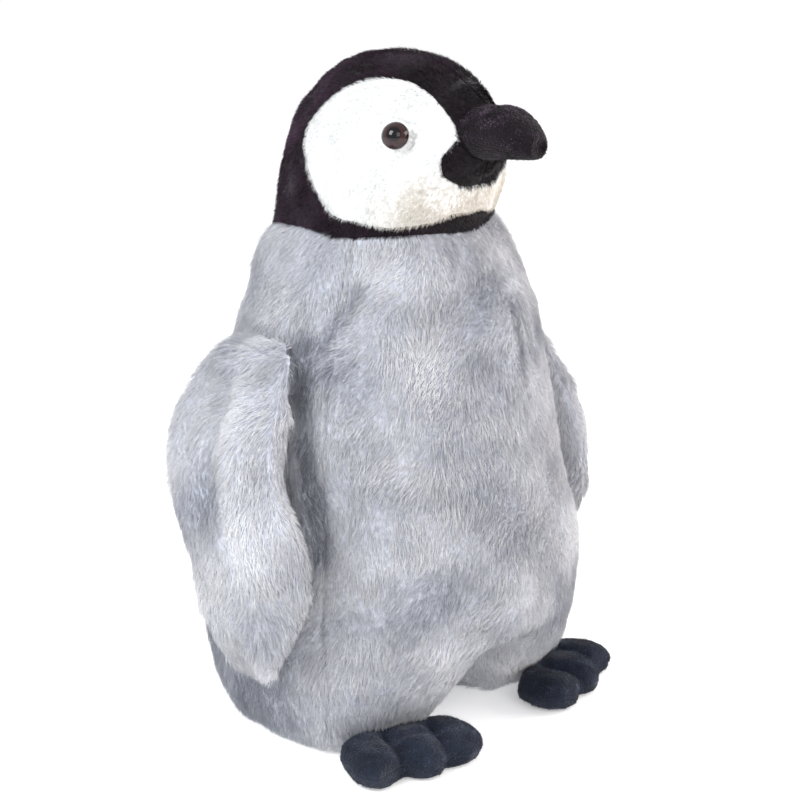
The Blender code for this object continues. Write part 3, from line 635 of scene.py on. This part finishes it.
def grow(name, form, node, pile, flow, body, bare=None, short=None, tone=None, crossing=None,
         hidden_by=()):
    """Pile on a panel. flow is the lie of the nap, bare where nothing grows, short the length there."""
    root, normal = form.roots(node, pile.density)
    keep = ~bare(root, normal) if bare is not None else np.ones(len(root), bool)
    root, normal = root[keep], normal[keep]
    for other in hidden_by:
        keep = ~FORMS[other].contains(root)
        root, normal = root[keep], normal[keep]
    count = len(root)
    nap = flow(root, normal)
    swirl = 0.28 * noise(root, 0.022, 71) + pile.spread * RNG.normal(size=count)
    nap = unit(nap - normal * (nap * normal).sum(1, keepdims=True))
    across = np.cross(normal, nap)
    nap = nap * np.cos(swirl)[:, None] + across * np.sin(swirl)[:, None]
    length = pile.length * (1 + 0.16 * noise(root, 0.012, 72)) * RNG.uniform(0.72, 1.18, count)
    if short is not None:
        length = length * short(root)
    rise = pile.rise * (1 + 0.25 * RNG.normal(size=count) + 0.22 * noise(root, 0.010, 73))
    lie = pile.lie * (1 + 0.45 * RNG.normal(size=count) + 0.5 * noise(root, 0.009, 74))
    first = normal * np.sin(rise)[:, None] + nap * np.cos(rise)[:, None]
    second = normal * np.sin(lie)[:, None] + nap * np.cos(lie)[:, None]
    root = root - normal * ROOT_DEPTH
    middle = root + first * (0.5 * length)[:, None]
    tip = middle + second * (0.5 * length)[:, None]
    leaders = max(8, int(count / (pile.density * 1e4 * pile.clump ** 2)))
    chosen = RNG.choice(count, leaders, replace=False)
    tree = KDTree(leaders)
    for k, i in enumerate(chosen):
        tree.insert(middle[i], k)
    tree.balance()
    nearest = chosen[np.array([tree.find(p)[1] for p in middle])]
    pull = (pile.pull * RNG.uniform(0.4, 1.0, count))[:, None]
    middle = middle + 0.4 * pull * (middle[nearest] - middle)
    tip = tip + pull * (tip[nearest] - tip)
    shades = len(pile.materials)
    own = RNG.normal(size=leaders)
    clump_tone = np.zeros(count)
    clump_tone[chosen] = own
    level = 0.42 * noise(root, pile.patch, 75) + 0.30 * clump_tone[nearest]
    level = (level + 0.35 * RNG.normal(size=count)) * pile.mottle
    # tone shifts the shades by place; for the body, flippers, hood, chin and beak it is painted light and
    # shade.
    if tone is not None:
        level = level + tone(root)
    shade = np.clip(np.round((0.5 + 0.22 * level) * (shades - 1)), 0, shades - 1).astype(int)
    width = pile.width * RNG.uniform(0.75, 1.2, count)
    order = np.argsort(root[:, 2], kind="stable")
    pieces = max(1, math.ceil(count / MAX_STRANDS))
    made = []
    for k, part in enumerate(np.array_split(order, pieces)):
        label = name if pieces == 1 else f"{name}_{k + 1}"
        obj = strand_mesh(label, root[part], middle[part], tip[part], normal[part], width[part],
                          shade[part])
        finish_piece(obj, pile.materials, body, crossing)
        made.append(obj)
    return made


# ---------------------------------------------------------------- camera, floor and light

CAMERA_PLACE = Vector((-0.67924, -0.59045, 0.415))
CAMERA_TARGET = Vector((0.0, 0.0012, 0.1554))
CAMERA_LENS = 86.175
SENSOR = 36.0


def look_at(obj, target):
    obj.rotation_euler = (Vector(target) - obj.location).to_track_quat("-Z", "Y").to_euler()


def add_camera():
    data = bpy.data.cameras.new("camera")
    data.lens = CAMERA_LENS
    data.sensor_width = SENSOR
    data.clip_start = 0.01
    data.clip_end = 50.0
    obj = bpy.data.objects.new("camera", data)
    bpy.context.scene.collection.objects.link(obj)
    obj.location = CAMERA_PLACE
    look_at(obj, CAMERA_TARGET)
    bpy.context.scene.camera = obj


def add_light(name, place, size, power, colour=(1, 1, 1)):
    data = bpy.data.lights.new(name, "AREA")
    data.shape, data.size, data.size_y = "RECTANGLE", size[0], size[1]
    data.energy, data.color = power, colour
    obj = bpy.data.objects.new(name, data)
    bpy.context.scene.collection.objects.link(obj)
    obj.location = place
    look_at(obj, (0, 0, 0.16))


def add_studio():
    half = 3.0
    corners = [(-half, -half, 0), (half, -half, 0), (half, half, 0), (-half, half, 0)]
    floor = new_object("floor", corners, [(0, 1, 2, 3)])
    mat, tree, shader = new_material("floor_paper", 0.85)
    coords = add_node(tree, "ShaderNodeTexCoord")
    fine = noise_node(tree, coords, 0.02)
    tree.links.new(mix_colour(tree, fine.outputs["Fac"], linear(250, 250, 250), linear(254, 254, 254)),
                   shader.inputs["Base Color"])
    shader.inputs["Emission Color"].default_value = (1, 1, 1, 1)
    shader.inputs["Emission Strength"].default_value = 0.35
    floor.data.materials.append(mat)
    world = bpy.data.worlds.new("studio")
    bpy.context.scene.world = world
    world.use_nodes = True
    tree = world.node_tree
    back = tree.nodes["Background"]
    back.inputs["Color"].default_value = (1.0, 1.0, 1.0, 1.0)
    path = add_node(tree, "ShaderNodeLightPath")
    tree.links.new(ranged(tree, path.outputs["Is Camera Ray"], 0, 1, 0.70, 1.03), back.inputs["Strength"])
    add_light("key", (-1.15, 0.15, 1.05), (0.7, 0.7), 18.0, (0.92, 0.96, 1.0))
    add_light("front", (-0.55, -1.15, 0.80), (0.8, 0.8), 5.5, (1.0, 0.985, 0.975))
    add_light("fill", (1.0, -0.8, 0.5), (0.9, 0.9), 14.0, (1.0, 0.93, 0.90))
    bpy.context.scene.view_settings.view_transform = "Standard"


add_camera()
add_studio()

# ---------------------------------------------------------------- what the surfaces are made of

FILLING = cloth_material("fibre_filling", linear(222, 222, 220), linear(246, 246, 244),
                         0.95, patch=0.008, grain=0.0015, depth=0.0008)
GREY_CLOTH = cloth_material("grey_backing", linear(158, 161, 172), linear(190, 193, 202),
                            0.95, patch=0.02, grain=0.001, depth=0.0004)
BLACK_CLOTH = cloth_material("black_backing", linear(14, 10, 13), linear(26, 19, 24),
                             0.95, patch=0.015, grain=0.0008, depth=0.0004)
WHITE_CLOTH = cloth_material("white_backing", linear(231, 229, 225), linear(241, 241, 240),
                             0.95, patch=0.015, grain=0.0008, depth=0.0004)
BASE_CLOTH = woven_material("base_cloth", linear(150, 152, 160), linear(168, 170, 178), thread=0.0007)
POUCH_CLOTH = woven_material("pouch_cloth", linear(214, 210, 200), linear(232, 229, 220), thread=0.0005)
RIBBON = woven_material("label_ribbon", linear(238, 238, 236), linear(250, 250, 248), thread=0.0004)
PELLETS = moulded_material("pellets", linear(225, 225, 220), linear(245, 245, 240), 0.4, grain=0.0018)
POST = moulded_material("eye_post", linear(40, 34, 34), linear(58, 48, 46), 0.35)
WASHER = moulded_material("eye_washer", linear(216, 214, 208), linear(236, 234, 228), 0.4)
BEAK_FLEECE = cloth_material("beak_fleece", linear(12, 6, 12), linear(22, 14, 22), 0.85,
                             patch=0.010, grain=0.0006, depth=0.0007, sheen=0.10, nubs=0.0011)
FOOT_FLEECE = cloth_material("foot_fleece", linear(24, 29, 41), linear(38, 44, 59), 0.85,
                             patch=0.008, grain=0.0006, depth=0.0005, sheen=0.12, nubs=0.0011)

GREY_STRANDS = strand_materials("grey_pile", (
    (140, 143, 153), (168, 170, 179), (193, 194, 199),
    (211, 211, 215), (225, 225, 228), (240, 240, 242)), 0.6, 0.2)
BLACK_STRANDS = strand_materials("black_pile", (
    (12, 5, 11), (19, 9, 17), (30, 16, 28), (49, 31, 47), (75, 53, 73)), 0.5)
WHITE_STRANDS = strand_materials("white_pile", (
    (217, 209, 196), (220, 213, 202), (224, 219, 210),
    (228, 226, 221), (231, 232, 231), (234, 236, 238)), 0.6)
FOOT_STRANDS = strand_materials("foot_nap", (
    (20, 24, 34), (36, 42, 56), (54, 62, 80), (92, 102, 124)), 0.7, 0.05)
BEAK_STRANDS = strand_materials("beak_nap", (
    (12, 6, 12), (27, 17, 27), (50, 37, 51), (104, 86, 106)), 0.7, 0.05)

LONG = Pile("grey_pile", GREY_STRANDS, density=140, length=0.0066, width=0.00023, rise=30, lie=9,
            clump=0.0024, pull=0.38, patch=0.024, spread=0.20)
BLACK = Pile("black_pile", BLACK_STRANDS, density=190, length=0.0036, width=0.00022, rise=44, lie=20,
             clump=0.0014, pull=0.25, patch=0.012, spread=0.22)
WHITE = Pile("white_pile", WHITE_STRANDS, density=300, length=0.0030, width=0.00018, rise=34, lie=12,
             clump=0.0014, pull=0.15, patch=0.012, spread=0.18, mottle=0.3)
FOOT_NAP = Pile("foot_fleece", FOOT_STRANDS, density=400, length=0.0014, width=0.00018, rise=60, lie=45,
                clump=0.0009, pull=0.4, patch=0.004, spread=3.0, mottle=1.5)
BEAK_NAP = Pile("beak_fleece", BEAK_STRANDS, density=420, length=0.0013, width=0.00017, rise=62, lie=48,
                clump=0.0009, pull=0.4, patch=0.004, spread=3.0, mottle=2.2)

# ---------------------------------------------------------------- the forms

HEAD_PANELS = ["hood_left", "hood_right", "cheek_left", "cheek_right", "chin_left", "chin_right"]
BODY_PANELS = ["belly_panel", "back_panel_left", "back_panel_right", "base_panel"]
BEAK_PANELS = ["beak_left", "beak_right", "beak_under"]


def body_pins(p):
    return np.maximum(smoothstep(0.232, 0.242, p[:, 2]), 1 - smoothstep(0.003, 0.012, p[:, 2]))


def head_pins(p):
    held = 1 - smoothstep(0.248, 0.256, p[:, 2])
    for side in ("left", "right"):
        low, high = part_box("eye_lens_" + side)
        away = np.linalg.norm(p - np.array((low + high) / 2), axis=1)
        held = np.maximum(held, 1 - smoothstep(0.006, 0.011, away))
    return held


def sole_pins(p):
    return 1 - smoothstep(0.002, 0.006, p[:, 2])


def foot_heel(x, y, z):
    """Whether a point is near the root of the foot, where it is sewn to the body."""
    root = JOINTS["foot_left_flex"]["pos_m"]
    axis = JOINTS["foot_left_flex"]["axis"]
    across = (abs(x) - root[0]) * -axis[1] + (y - root[1]) * axis[0]
    return abs(across) < 0.006


def shoulder_pins(p):
    return smoothstep(0.188, 0.198, p[:, 2])


TAIL_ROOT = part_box("tail_upper")[0].y
FORMS = {
    "body": Form("body", BODY_PANELS, ["body_stuffing"], voxel=0.0035, inset=0.0040, cap=0.0030,
                 opening=lambda x, y, z: z > 0.222, reach=(0, 0, 0.014), shrink=0.75, smooth=8,
                 pins=body_pins, floor=True),
    "head": Form("head", HEAD_PANELS, ["head_stuffing"], voxel=0.0019, inset=0.0016, cap=0.0008,
                 opening=lambda x, y, z: z < 0.256, reach=(0, 0, -0.009), shrink=0.80, smooth=8,
                 pins=head_pins),
    "beak": Form("beak", BEAK_PANELS, ["beak_stuffing"], voxel=0.0009, inset=0.0, cap=0.0001,
                 opening=lambda x, y, z: y > -0.058, reach=(0, 0.008, 0), shrink=1.05, smooth=14),
    "tail": Form("tail", ["tail_upper", "tail_under"], ["tail_fill"], voxel=0.0015, inset=0.0016,
                 cap=0.0010, opening=lambda x, y, z: y < TAIL_ROOT + 0.006, reach=(0, -0.007, 0),
                 shrink=0.90, smooth=8),
}
for side, sign in (("left", 1), ("right", -1)):
    flipper, foot = "flipper_" + side, "foot_" + side
    FORMS[flipper] = Form(flipper, [flipper + "_outer", flipper + "_inner"], [flipper + "_fill"],
                          voxel=0.0021, inset=0.0030, cap=0.0024, opening=lambda x, y, z: z > 0.182,
                          reach=(-0.010 * sign, 0.002, 0.003), shrink=0.60, smooth=10, pins=shoulder_pins)
    FORMS[foot] = Form(foot, [foot + "_upper", foot + "_sole"], [foot + "_fill"], voxel=0.0011,
                       inset=0.0004, cap=0.0006, opening=foot_heel, reach=(-0.004 * sign, 0.009, 0),
                       shrink=0.85, smooth=14, pins=sole_pins)

for number in range(1, SWELL_FRAMES + 1):
    bpy.context.scene.frame_set(number)
for form in FORMS.values():
    form.settle()
    form.measure()
bpy.context.scene.frame_set(1)

# ---------------------------------------------------------------- folds, creases and seams

body, head, beak = FORMS["body"], FORMS["head"], FORMS["beak"]


def mirrored(point):
    return (-point[0], point[1], point[2])


def behind_valley(p):
    """How far each point lies behind the fold that runs down the middle of a flipper."""
    return p[:, 1] - (0.0203 + (p[:, 2] - 0.183) * 0.2746)


FLIPPER_EDGE = ((-0.0760, -0.0030, 0.1990), (-0.0800, -0.0050, 0.1800), (-0.0830, -0.0110, 0.1550),
                (-0.0850, -0.0180, 0.1300), (-0.0860, -0.0230, 0.1050))
# Creases of the body: start, end, width, depth, and how much painted shade darkens the pile in them.
CREASES = [
    ((-0.0590, -0.0260, 0.2280), (-0.0740, -0.0150, 0.2000), 0.0042, 0.0050, 2.0),
    ((-0.0760, -0.0120, 0.2010), (-0.0820, 0.0080, 0.2040), 0.0040, 0.0030, 1.2),
    ((0.0190, -0.0570, 0.2130), (0.0150, -0.0650, 0.1800), 0.0036, 0.0042, 2.0),
    ((0.0290, -0.0530, 0.2130), (0.0310, -0.0620, 0.1850), 0.0042, 0.0030, 1.5),
    ((-0.0700, -0.0560, 0.0660), (-0.0500, -0.0650, 0.0330), 0.0035, 0.0026, 0.5),
]
for start, end in zip(FLIPPER_EDGE, FLIPPER_EDGE[1:]):
    CREASES.append((start, end, 0.0052, 0.0030, 2.6))
    CREASES.append((mirrored(start), mirrored(end), 0.0052, 0.0030, 2.6))
CREASES = [(body.snapped(start), body.snapped(end), *rest) for start, end, *rest in CREASES]


p = body.co
between_feet = 1 - smoothstep(0.016, 0.038, np.abs(p[:, 0] + 0.006))
lift = ARCH_TALL * between_feet * smoothstep(0.005, 0.040, -p[:, 1])
body.co[:, 2] = np.where(p[:, 2] < 0.055, lift + p[:, 2] * (1 - lift / 0.055), p[:, 2])
behind = smoothstep(-0.040, 0.020, body.co[:, 1])
body.push((-0.0012 + 0.0040 * behind) * smoothstep(0.195, 0.235, body.co[:, 2])
          + (0.0008 + 0.0016 * behind) * (1 - smoothstep(0.02, 0.06, body.co[:, 2])))
body.push(0.0012 * noise(body.co, 0.035, 11) * smoothstep(0.01, 0.03, body.co[:, 2]))
deepest = np.zeros(len(body.co))
for start, end, width, depth, _ in CREASES:
    away, t = to_segment(body.co, start, end)
    ends = smoothstep(0, 0.25, t) * smoothstep(0, 0.25, 1 - t)
    deepest = np.maximum(deepest, depth * np.exp(-(away / width) ** 2) * (0.45 + 0.55 * ends))
body.push(-deepest)
body.draw_in_seams(0.0010)
body.co[:, 2] = np.maximum(body.co[:, 2], FLOOR_CLEARANCE)
head.draw_in_seams(0.0006)
beak.soften(30)
beak.draw_in_seams(0.0001)

TOE_VALLEYS = (-0.0136, 0.0094)  # between the toes, out from the middle of the foot
FOOT_SEAM_Z = 0.0085

for side, sign in (("left", 1), ("right", -1)):
    form = FORMS["flipper_" + side]
    p = form.co
    normal = form.normals()
    outward = smoothstep(0.1, 0.5, normal[:, 0] * sign)
    along = smoothstep(0.092, 0.125, p[:, 2]) * smoothstep(0, 0.012, 0.190 - p[:, 2])
    off = behind_valley(p)
    dip = np.where(off > 0, np.exp(-(off / 0.012) ** 2), np.exp(-(off / 0.005) ** 2))
    ridge = np.exp(-((off + 0.014) / 0.010) ** 2)
    form.fair(6, smoothstep(0.172, 0.186, p[:, 2]))
    form.measure()
    rear = smoothstep(0.010, 0.040, p[:, 1])
    form.co[:, 1] += rear * (0.0022 * np.exp(-((p[:, 2] - 0.168) / 0.018) ** 2)
                             - 0.0050 * np.exp(-((p[:, 2] - 0.104) / 0.030) ** 2))
    form.co[:, 0] += sign * (0.0036 * np.exp(-((p[:, 2] - 0.125) / 0.028) ** 2)
                             - 0.0032 * np.exp(-((p[:, 2] - 0.176) / 0.016) ** 2))
    form.push(outward * along * (-0.0034 * dip + 0.0036 * ridge) + 0.0007 * noise(p, 0.022, 12))
    form.draw_in_seams(0.0008)
    foot = FORMS["foot_" + side]
    foot.co[:, 2] = np.maximum(foot.co[:, 2], FLOOR_CLEARANCE)
    foot.draw_in_seams(0.0005)
    place = np.array(JOINTS[f"foot_{side}_flex"]["pos_m"])
    flex = np.array(JOINTS[f"foot_{side}_flex"]["axis"])
    from_root = foot.co - place
    aside = -from_root[:, 0] * flex[0] - from_root[:, 1] * flex[1]
    ahead = -from_root[:, 0] * flex[1] + from_root[:, 1] * flex[0]
    cut = sum(np.exp(-((aside * sign - offset) / 0.0034) ** 2) for offset in TOE_VALLEYS)
    over = np.maximum(foot.co[:, 2] - FOOT_SEAM_Z, 0) * smoothstep(-0.004, 0.004, ahead)
    foot.co[:, 2] -= over * 0.55 * np.minimum(cut, 1)
    foot.soften(6)
    foot.co[:, 2] = np.maximum(foot.co[:, 2], 0.0003)
    set_points(foot.obj.data, foot.co)

# ---------------------------------------------------------------- panels and filling

for form in FORMS.values():
    form.measure()

body.panel("belly_skin", "belly_panel", GREY_CLOTH, "grey_pile", "torso")
for side in ("left", "right"):
    body.panel("back_skin_" + side, "back_panel_" + side, GREY_CLOTH, "grey_pile", "torso")
body.panel("base_cloth", "base_panel", BASE_CLOTH, "base_cloth", "torso")
body.pad("body_filling", "body_stuffing", "torso", 0.0030)
for side in ("left", "right"):
    head.panel("hood_skin_" + side, "hood_" + side, BLACK_CLOTH, "black_pile", "torso")
    head.panel("cheek_skin_" + side, "cheek_" + side, WHITE_CLOTH, "white_pile", "torso")
    head.panel("chin_skin_" + side, "chin_" + side, BLACK_CLOTH, "black_pile", "torso")
head.pad("head_filling", "head_stuffing", "torso", 0.0026)
for node in BEAK_PANELS:
    beak.panel(node + "_skin", node, BEAK_FLEECE, "beak_fleece", "torso", FLEECE_THICK)
beak.pad("beak_filling", "beak_stuffing", "torso", 0.0020)
tail = FORMS["tail"]
for node in ("tail_upper", "tail_under"):
    tail.panel(node + "_skin", node, GREY_CLOTH, "grey_pile", "tail", FLEECE_THICK)
tail.pad("tail_filling", "tail_fill", "tail", 0.0018)

CROSSING = {}
for side in ("left", "right"):
    x, y, z = JOINTS[f"flipper_{side}_lift"]["pos_m"]
    CROSSING[side] = ("torso", (x, y, z + 0.004), (x, y, z - 0.018))
    flipper, foot = FORMS["flipper_" + side], FORMS["foot_" + side]
    for face in ("outer", "inner"):
        flipper.panel(f"flipper_{side}_{face}_skin", f"flipper_{side}_{face}", GREY_CLOTH, "grey_pile",
                      "flipper_" + side, crossing=CROSSING[side])
    flipper.pad(f"flipper_{side}_filling", f"flipper_{side}_fill", "flipper_" + side, 0.0024,
                CROSSING[side])
    for face in ("upper", "sole"):
        foot.panel(f"foot_{side}_{face}_skin", f"foot_{side}_{face}", FOOT_FLEECE, "foot_fleece",
                   "foot_" + side, FLEECE_THICK)
    foot.pad(f"foot_{side}_filling", f"foot_{side}_fill", "foot_" + side, 0.0018)

# ---------------------------------------------------------------- eyes

EYES = {}


def eye_material():
    """Brown iris round a black pupil under a clear polished surface, in the lens's own space; painted
    shade darkens the iris towards its edge.
    """
    mat, tree, shader = new_material("eye_lens", 0.3, 0.0, 0.75, specular=0.0)
    shader.inputs["Coat Roughness"].default_value = 0.02
    shader.inputs["Coat IOR"].default_value = 1.5
    coords = add_node(tree, "ShaderNodeTexCoord")
    flat = add_node(tree, "ShaderNodeVectorMath", operation="MULTIPLY")
    flat.inputs[1].default_value = (1, 1, 0)
    tree.links.new(coords.outputs["Object"], flat.inputs[0])
    far = add_node(tree, "ShaderNodeVectorMath", operation="LENGTH")
    tree.links.new(flat.outputs[0], far.inputs[0])
    fibres = add_node(tree, "ShaderNodeTexNoise", Scale=900.0, Detail=3.0)
    tree.links.new(coords.outputs["Object"], fibres.inputs["Vector"])
    iris = mix_colour(tree, fibres.outputs["Fac"], linear(30, 14, 17), linear(64, 38, 38))
    # painted shade: a dark ring round the iris's edge, where the lens meets the pile
    rim = ranged(tree, far.outputs["Value"], EYE_RADIUS * 0.80, EYE_RADIUS * 0.98)
    iris_with_painted_shade_ring = mix_colour(tree, rim, iris, linear(14, 9, 11))
    pupil = ranged(tree, far.outputs["Value"], EYE_RADIUS * 0.50, EYE_RADIUS * 0.56)
    tree.links.new(mix_colour(tree, pupil, linear(12, 9, 12), iris_with_painted_shade_ring), shader.inputs["Base Color"])
    return mat


def add_eye(side, material):
    """A polished dome a little finer than the frame's lens, in its place."""
    node = NODES["eye_lens_" + side]
    co = mesh_arrays(node.data)
    centre = co.mean(0)
    _, _, axes = np.linalg.svd(co - centre)
    axis = axes[2] * np.sign(axes[2][0] * (1 if side == "left" else -1))
    out = (co - centre) @ axis
    base = centre + axis * out.min()
    dome = out.max() - out.min()
    radius = np.linalg.norm((co - centre) - np.outer(out, axis), axis=1).max()
    rings, segments = 14, 48
    angles = np.linspace(0, 2 * math.pi, segments, endpoint=False)
    vertices, faces = [(0.0, 0.0, dome)], []
    levels = [(radius * (r / rings), dome * (1 - (r / rings) ** 2.4)) for r in range(1, rings + 1)]
    for width, height in [*levels, (radius * 0.96, -0.0006)]:
        vertices += [(width * math.cos(a), width * math.sin(a), height) for a in angles]
    for s in range(segments):
        t = (s + 1) % segments
        faces.append((0, 1 + s, 1 + t))
        for r in range(rings):
            a, b = 1 + r * segments, 1 + (r + 1) * segments
            faces.append((a + s, b + s, b + t, a + t))
    faces.append(tuple(1 + rings * segments + s for s in reversed(range(segments))))
    obj = new_object("eye_" + side, vertices, faces)
    turn = Vector(axis).to_track_quat("Z", "Y").to_matrix().to_4x4()
    obj.matrix_world = Matrix.Translation(Vector(base)) @ turn
    finish_piece(obj, material, "torso")
    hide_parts("eye_lens_" + side)
    EYES[side] = (base, radius, axis)


EYE = eye_material()
for side in ("left", "right"):
    add_eye(side, EYE)

# ---------------------------------------------------------------- CAD nodes that stay

STAYING = {"pellet_pouch_top": POUCH_CLOTH, "pellet_pouch_bottom": POUCH_CLOTH, "pellet_fill": PELLETS,
           "eye_post_left": POST, "eye_post_right": POST, "eye_washer_left": WASHER,
           "eye_washer_right": WASHER, "care_label": RIBBON}
for name, material in STAYING.items():
    mesh = NODES[name].data
    mesh.materials.clear()
    mesh.materials.append(material)

# ---------------------------------------------------------------- pile on the panels

BEAK_ROOT = np.array((0.0, -0.040, 0.290))


def body_flow(p, n):
    lean = 0.45 * smoothstep(0.2, 0.9, -n[:, 1])
    across = -lean + 0.25 * noise(p, 0.05, 31)
    return np.stack([across, 0.20 * noise(p, 0.05, 32), -np.ones(len(p))], 1)


def flipper_flow(p, n):
    back = 0.45 * smoothstep(0.13, 0.18, p[:, 2]) + 0.3 * noise(p, 0.04, 33)
    return np.stack([np.zeros(len(p)), back, -np.ones(len(p))], 1)


def head_flow(p, n):
    away = unit(p - BEAK_ROOT)
    away[:, 2] -= 0.25
    near = (1 - smoothstep(0.017, 0.027, np.linalg.norm((p - BEAK_ROOT) * (1, 0.5, 1), axis=1)))[:, None]
    away = away * (1 - near) + np.array((0.0, -1.0, -0.1)) * near
    for base, radius, _ in EYES.values():
        out = p - base
        far = np.linalg.norm(out, axis=1)
        pull = 1 - smoothstep(radius, radius + 0.006, far)
        away = away * (1 - pull)[:, None] + unit(out) * pull[:, None]
    return away


def nap_flow(p, n):
    return np.stack([noise(p, 0.006, 34), noise(p, 0.006, 35), noise(p, 0.006, 36)], 1)


def sole_bare(p, n):
    return (n[:, 2] < -0.7) & (p[:, 2] < 0.002)


def tail_flow(p, n):
    return np.stack([0.2 * np.sign(p[:, 0]), np.ones(len(p)), -0.6 * np.ones(len(p))], 1)


def cheek_tone(p):
    """Whiter over the cheek, creamier towards the throat."""
    throat = smoothstep(0.012, 0.044, -p[:, 1]) * (1 - smoothstep(0.258, 0.280, p[:, 2]))
    return 1.6 - 3.6 * throat


def hood_painted_light(p):
    """Painted light and shade: the crown and nape are painted lighter where they catch the light, and
    painted shade darkens the brow beside the beak.
    """
    return 0.9 * smoothstep(-0.02, 0.03, p[:, 1]) - 2.0 * smoothstep(0.026, 0.046, -p[:, 1])


def beak_painted_light(p):
    """Painted light and shade: the top of the beak is painted lighter where it catches the light, the
    rest of the beak darker.
    """
    return 1.8 * smoothstep(0.281, 0.297, p[:, 2]) - 1.3


def body_bare(p, n):
    return (n[:, 2] < -0.8) & (p[:, 2] < 0.02)


def head_bare(p, n):
    bare = np.zeros(len(p), bool)
    for base, radius, axis in EYES.values():
        out = p - base
        flat = np.linalg.norm(out - np.outer(out @ axis, axis), axis=1)
        bare |= (flat < radius * 0.97) & (np.abs(out @ axis) < 0.010)
    return bare


def head_short(p):
    scale = np.ones(len(p))
    for base, radius, _ in EYES.values():
        far = np.linalg.norm(p - base, axis=1)
        scale = np.minimum(scale, 0.65 + 0.35 * smoothstep(radius, radius + 0.004, far))
    from_beak = np.linalg.norm((p - BEAK_ROOT) * (1, 0.6, 1), axis=1)
    return scale * (0.7 + 0.3 * smoothstep(0.014, 0.030, from_beak))


# Painted light and shade on the grey pile: a little lighter towards the top, lighter low at the front and
# on the +x side, painted shade low at the back and in the creases; the noise adds tone that differs at
# random.
def body_tone_and_painted_light(p):
    low = 1 - smoothstep(0.0, 0.06, p[:, 2])
    side = smoothstep(-0.05, 0.0, p[:, 1]) * (1 - smoothstep(0.04, 0.11, p[:, 2]))
    tone = 0.2 * smoothstep(0.12, 0.24, p[:, 2]) + 2.0 * low * smoothstep(0.03, 0.06, -p[:, 1])
    tone += 1.2 * smoothstep(0.02, 0.07, p[:, 0]) - 0.2 - 1.9 * side
    tone += 0.5 * noise(p * (1, 1, 0.6), 0.035, 41) + 0.25 * noise(p * (0.5, 0.5, 1.8), 0.016, 43)
    # painted shade along each crease and beside each flipper's front edge
    for start, end, width, _, painted_shade in CREASES:
        away, _ = to_segment(p, start, end)
        tone -= painted_shade * np.exp(-(away / width) ** 2)
    return tone


# Painted light and shade on the flipper pile: painted highlight on the ridge before the fold, painted
# shade in the fold, and the whole flipper painted a little lighter; the noise adds tone that differs at
# random.
def flipper_tone_and_painted_light(p):
    off = behind_valley(p)
    light = np.exp(-((off + 0.014) / 0.010) ** 2) * smoothstep(0.08, 0.12, p[:, 2])
    dark = np.exp(-((off - 0.004) / 0.008) ** 2) * smoothstep(0.09, 0.12, p[:, 2])
    return 1.2 * light - 1.0 * dark + 0.4 + 0.4 * noise(p, 0.03, 42)


for node, name in (("belly_panel", "belly_pile"), ("back_panel_left", "back_pile_left"),
                   ("back_panel_right", "back_pile_right")):
    grow(name, body, node, LONG, body_flow, "torso", bare=body_bare, tone=body_tone_and_painted_light, hidden_by=["head"])
for side in ("left", "right"):
    for face in ("outer", "inner"):
        grow(f"flipper_{side}_{face}_pile", FORMS["flipper_" + side], f"flipper_{side}_{face}", LONG,
             flipper_flow, "flipper_" + side, tone=flipper_tone_and_painted_light, crossing=CROSSING[side],
             hidden_by=["body"])
    for patch, pile, tone in (("hood", BLACK, hood_painted_light), ("chin", BLACK, hood_painted_light),
                              ("cheek", WHITE, cheek_tone)):
        grow(f"{patch}_pile_{side}", head, f"{patch}_{side}", pile, head_flow, "torso", bare=head_bare,
             short=head_short, tone=tone, hidden_by=["body", "beak"])
    for face in ("upper", "sole"):
        grow(f"foot_{side}_{face}_nap", FORMS["foot_" + side], f"foot_{side}_{face}", FOOT_NAP,
             nap_flow, "foot_" + side, bare=sole_bare, hidden_by=["body"])
for node in BEAK_PANELS:
    grow(node + "_nap", beak, node, BEAK_NAP, nap_flow, "torso", tone=beak_painted_light, hidden_by=["head"])
for node in ("tail_upper", "tail_under"):
    grow(node + "_pile", tail, node, LONG, tail_flow, "tail", hidden_by=["body"])

for form in FORMS.values():
    bpy.data.objects.remove(form.obj)
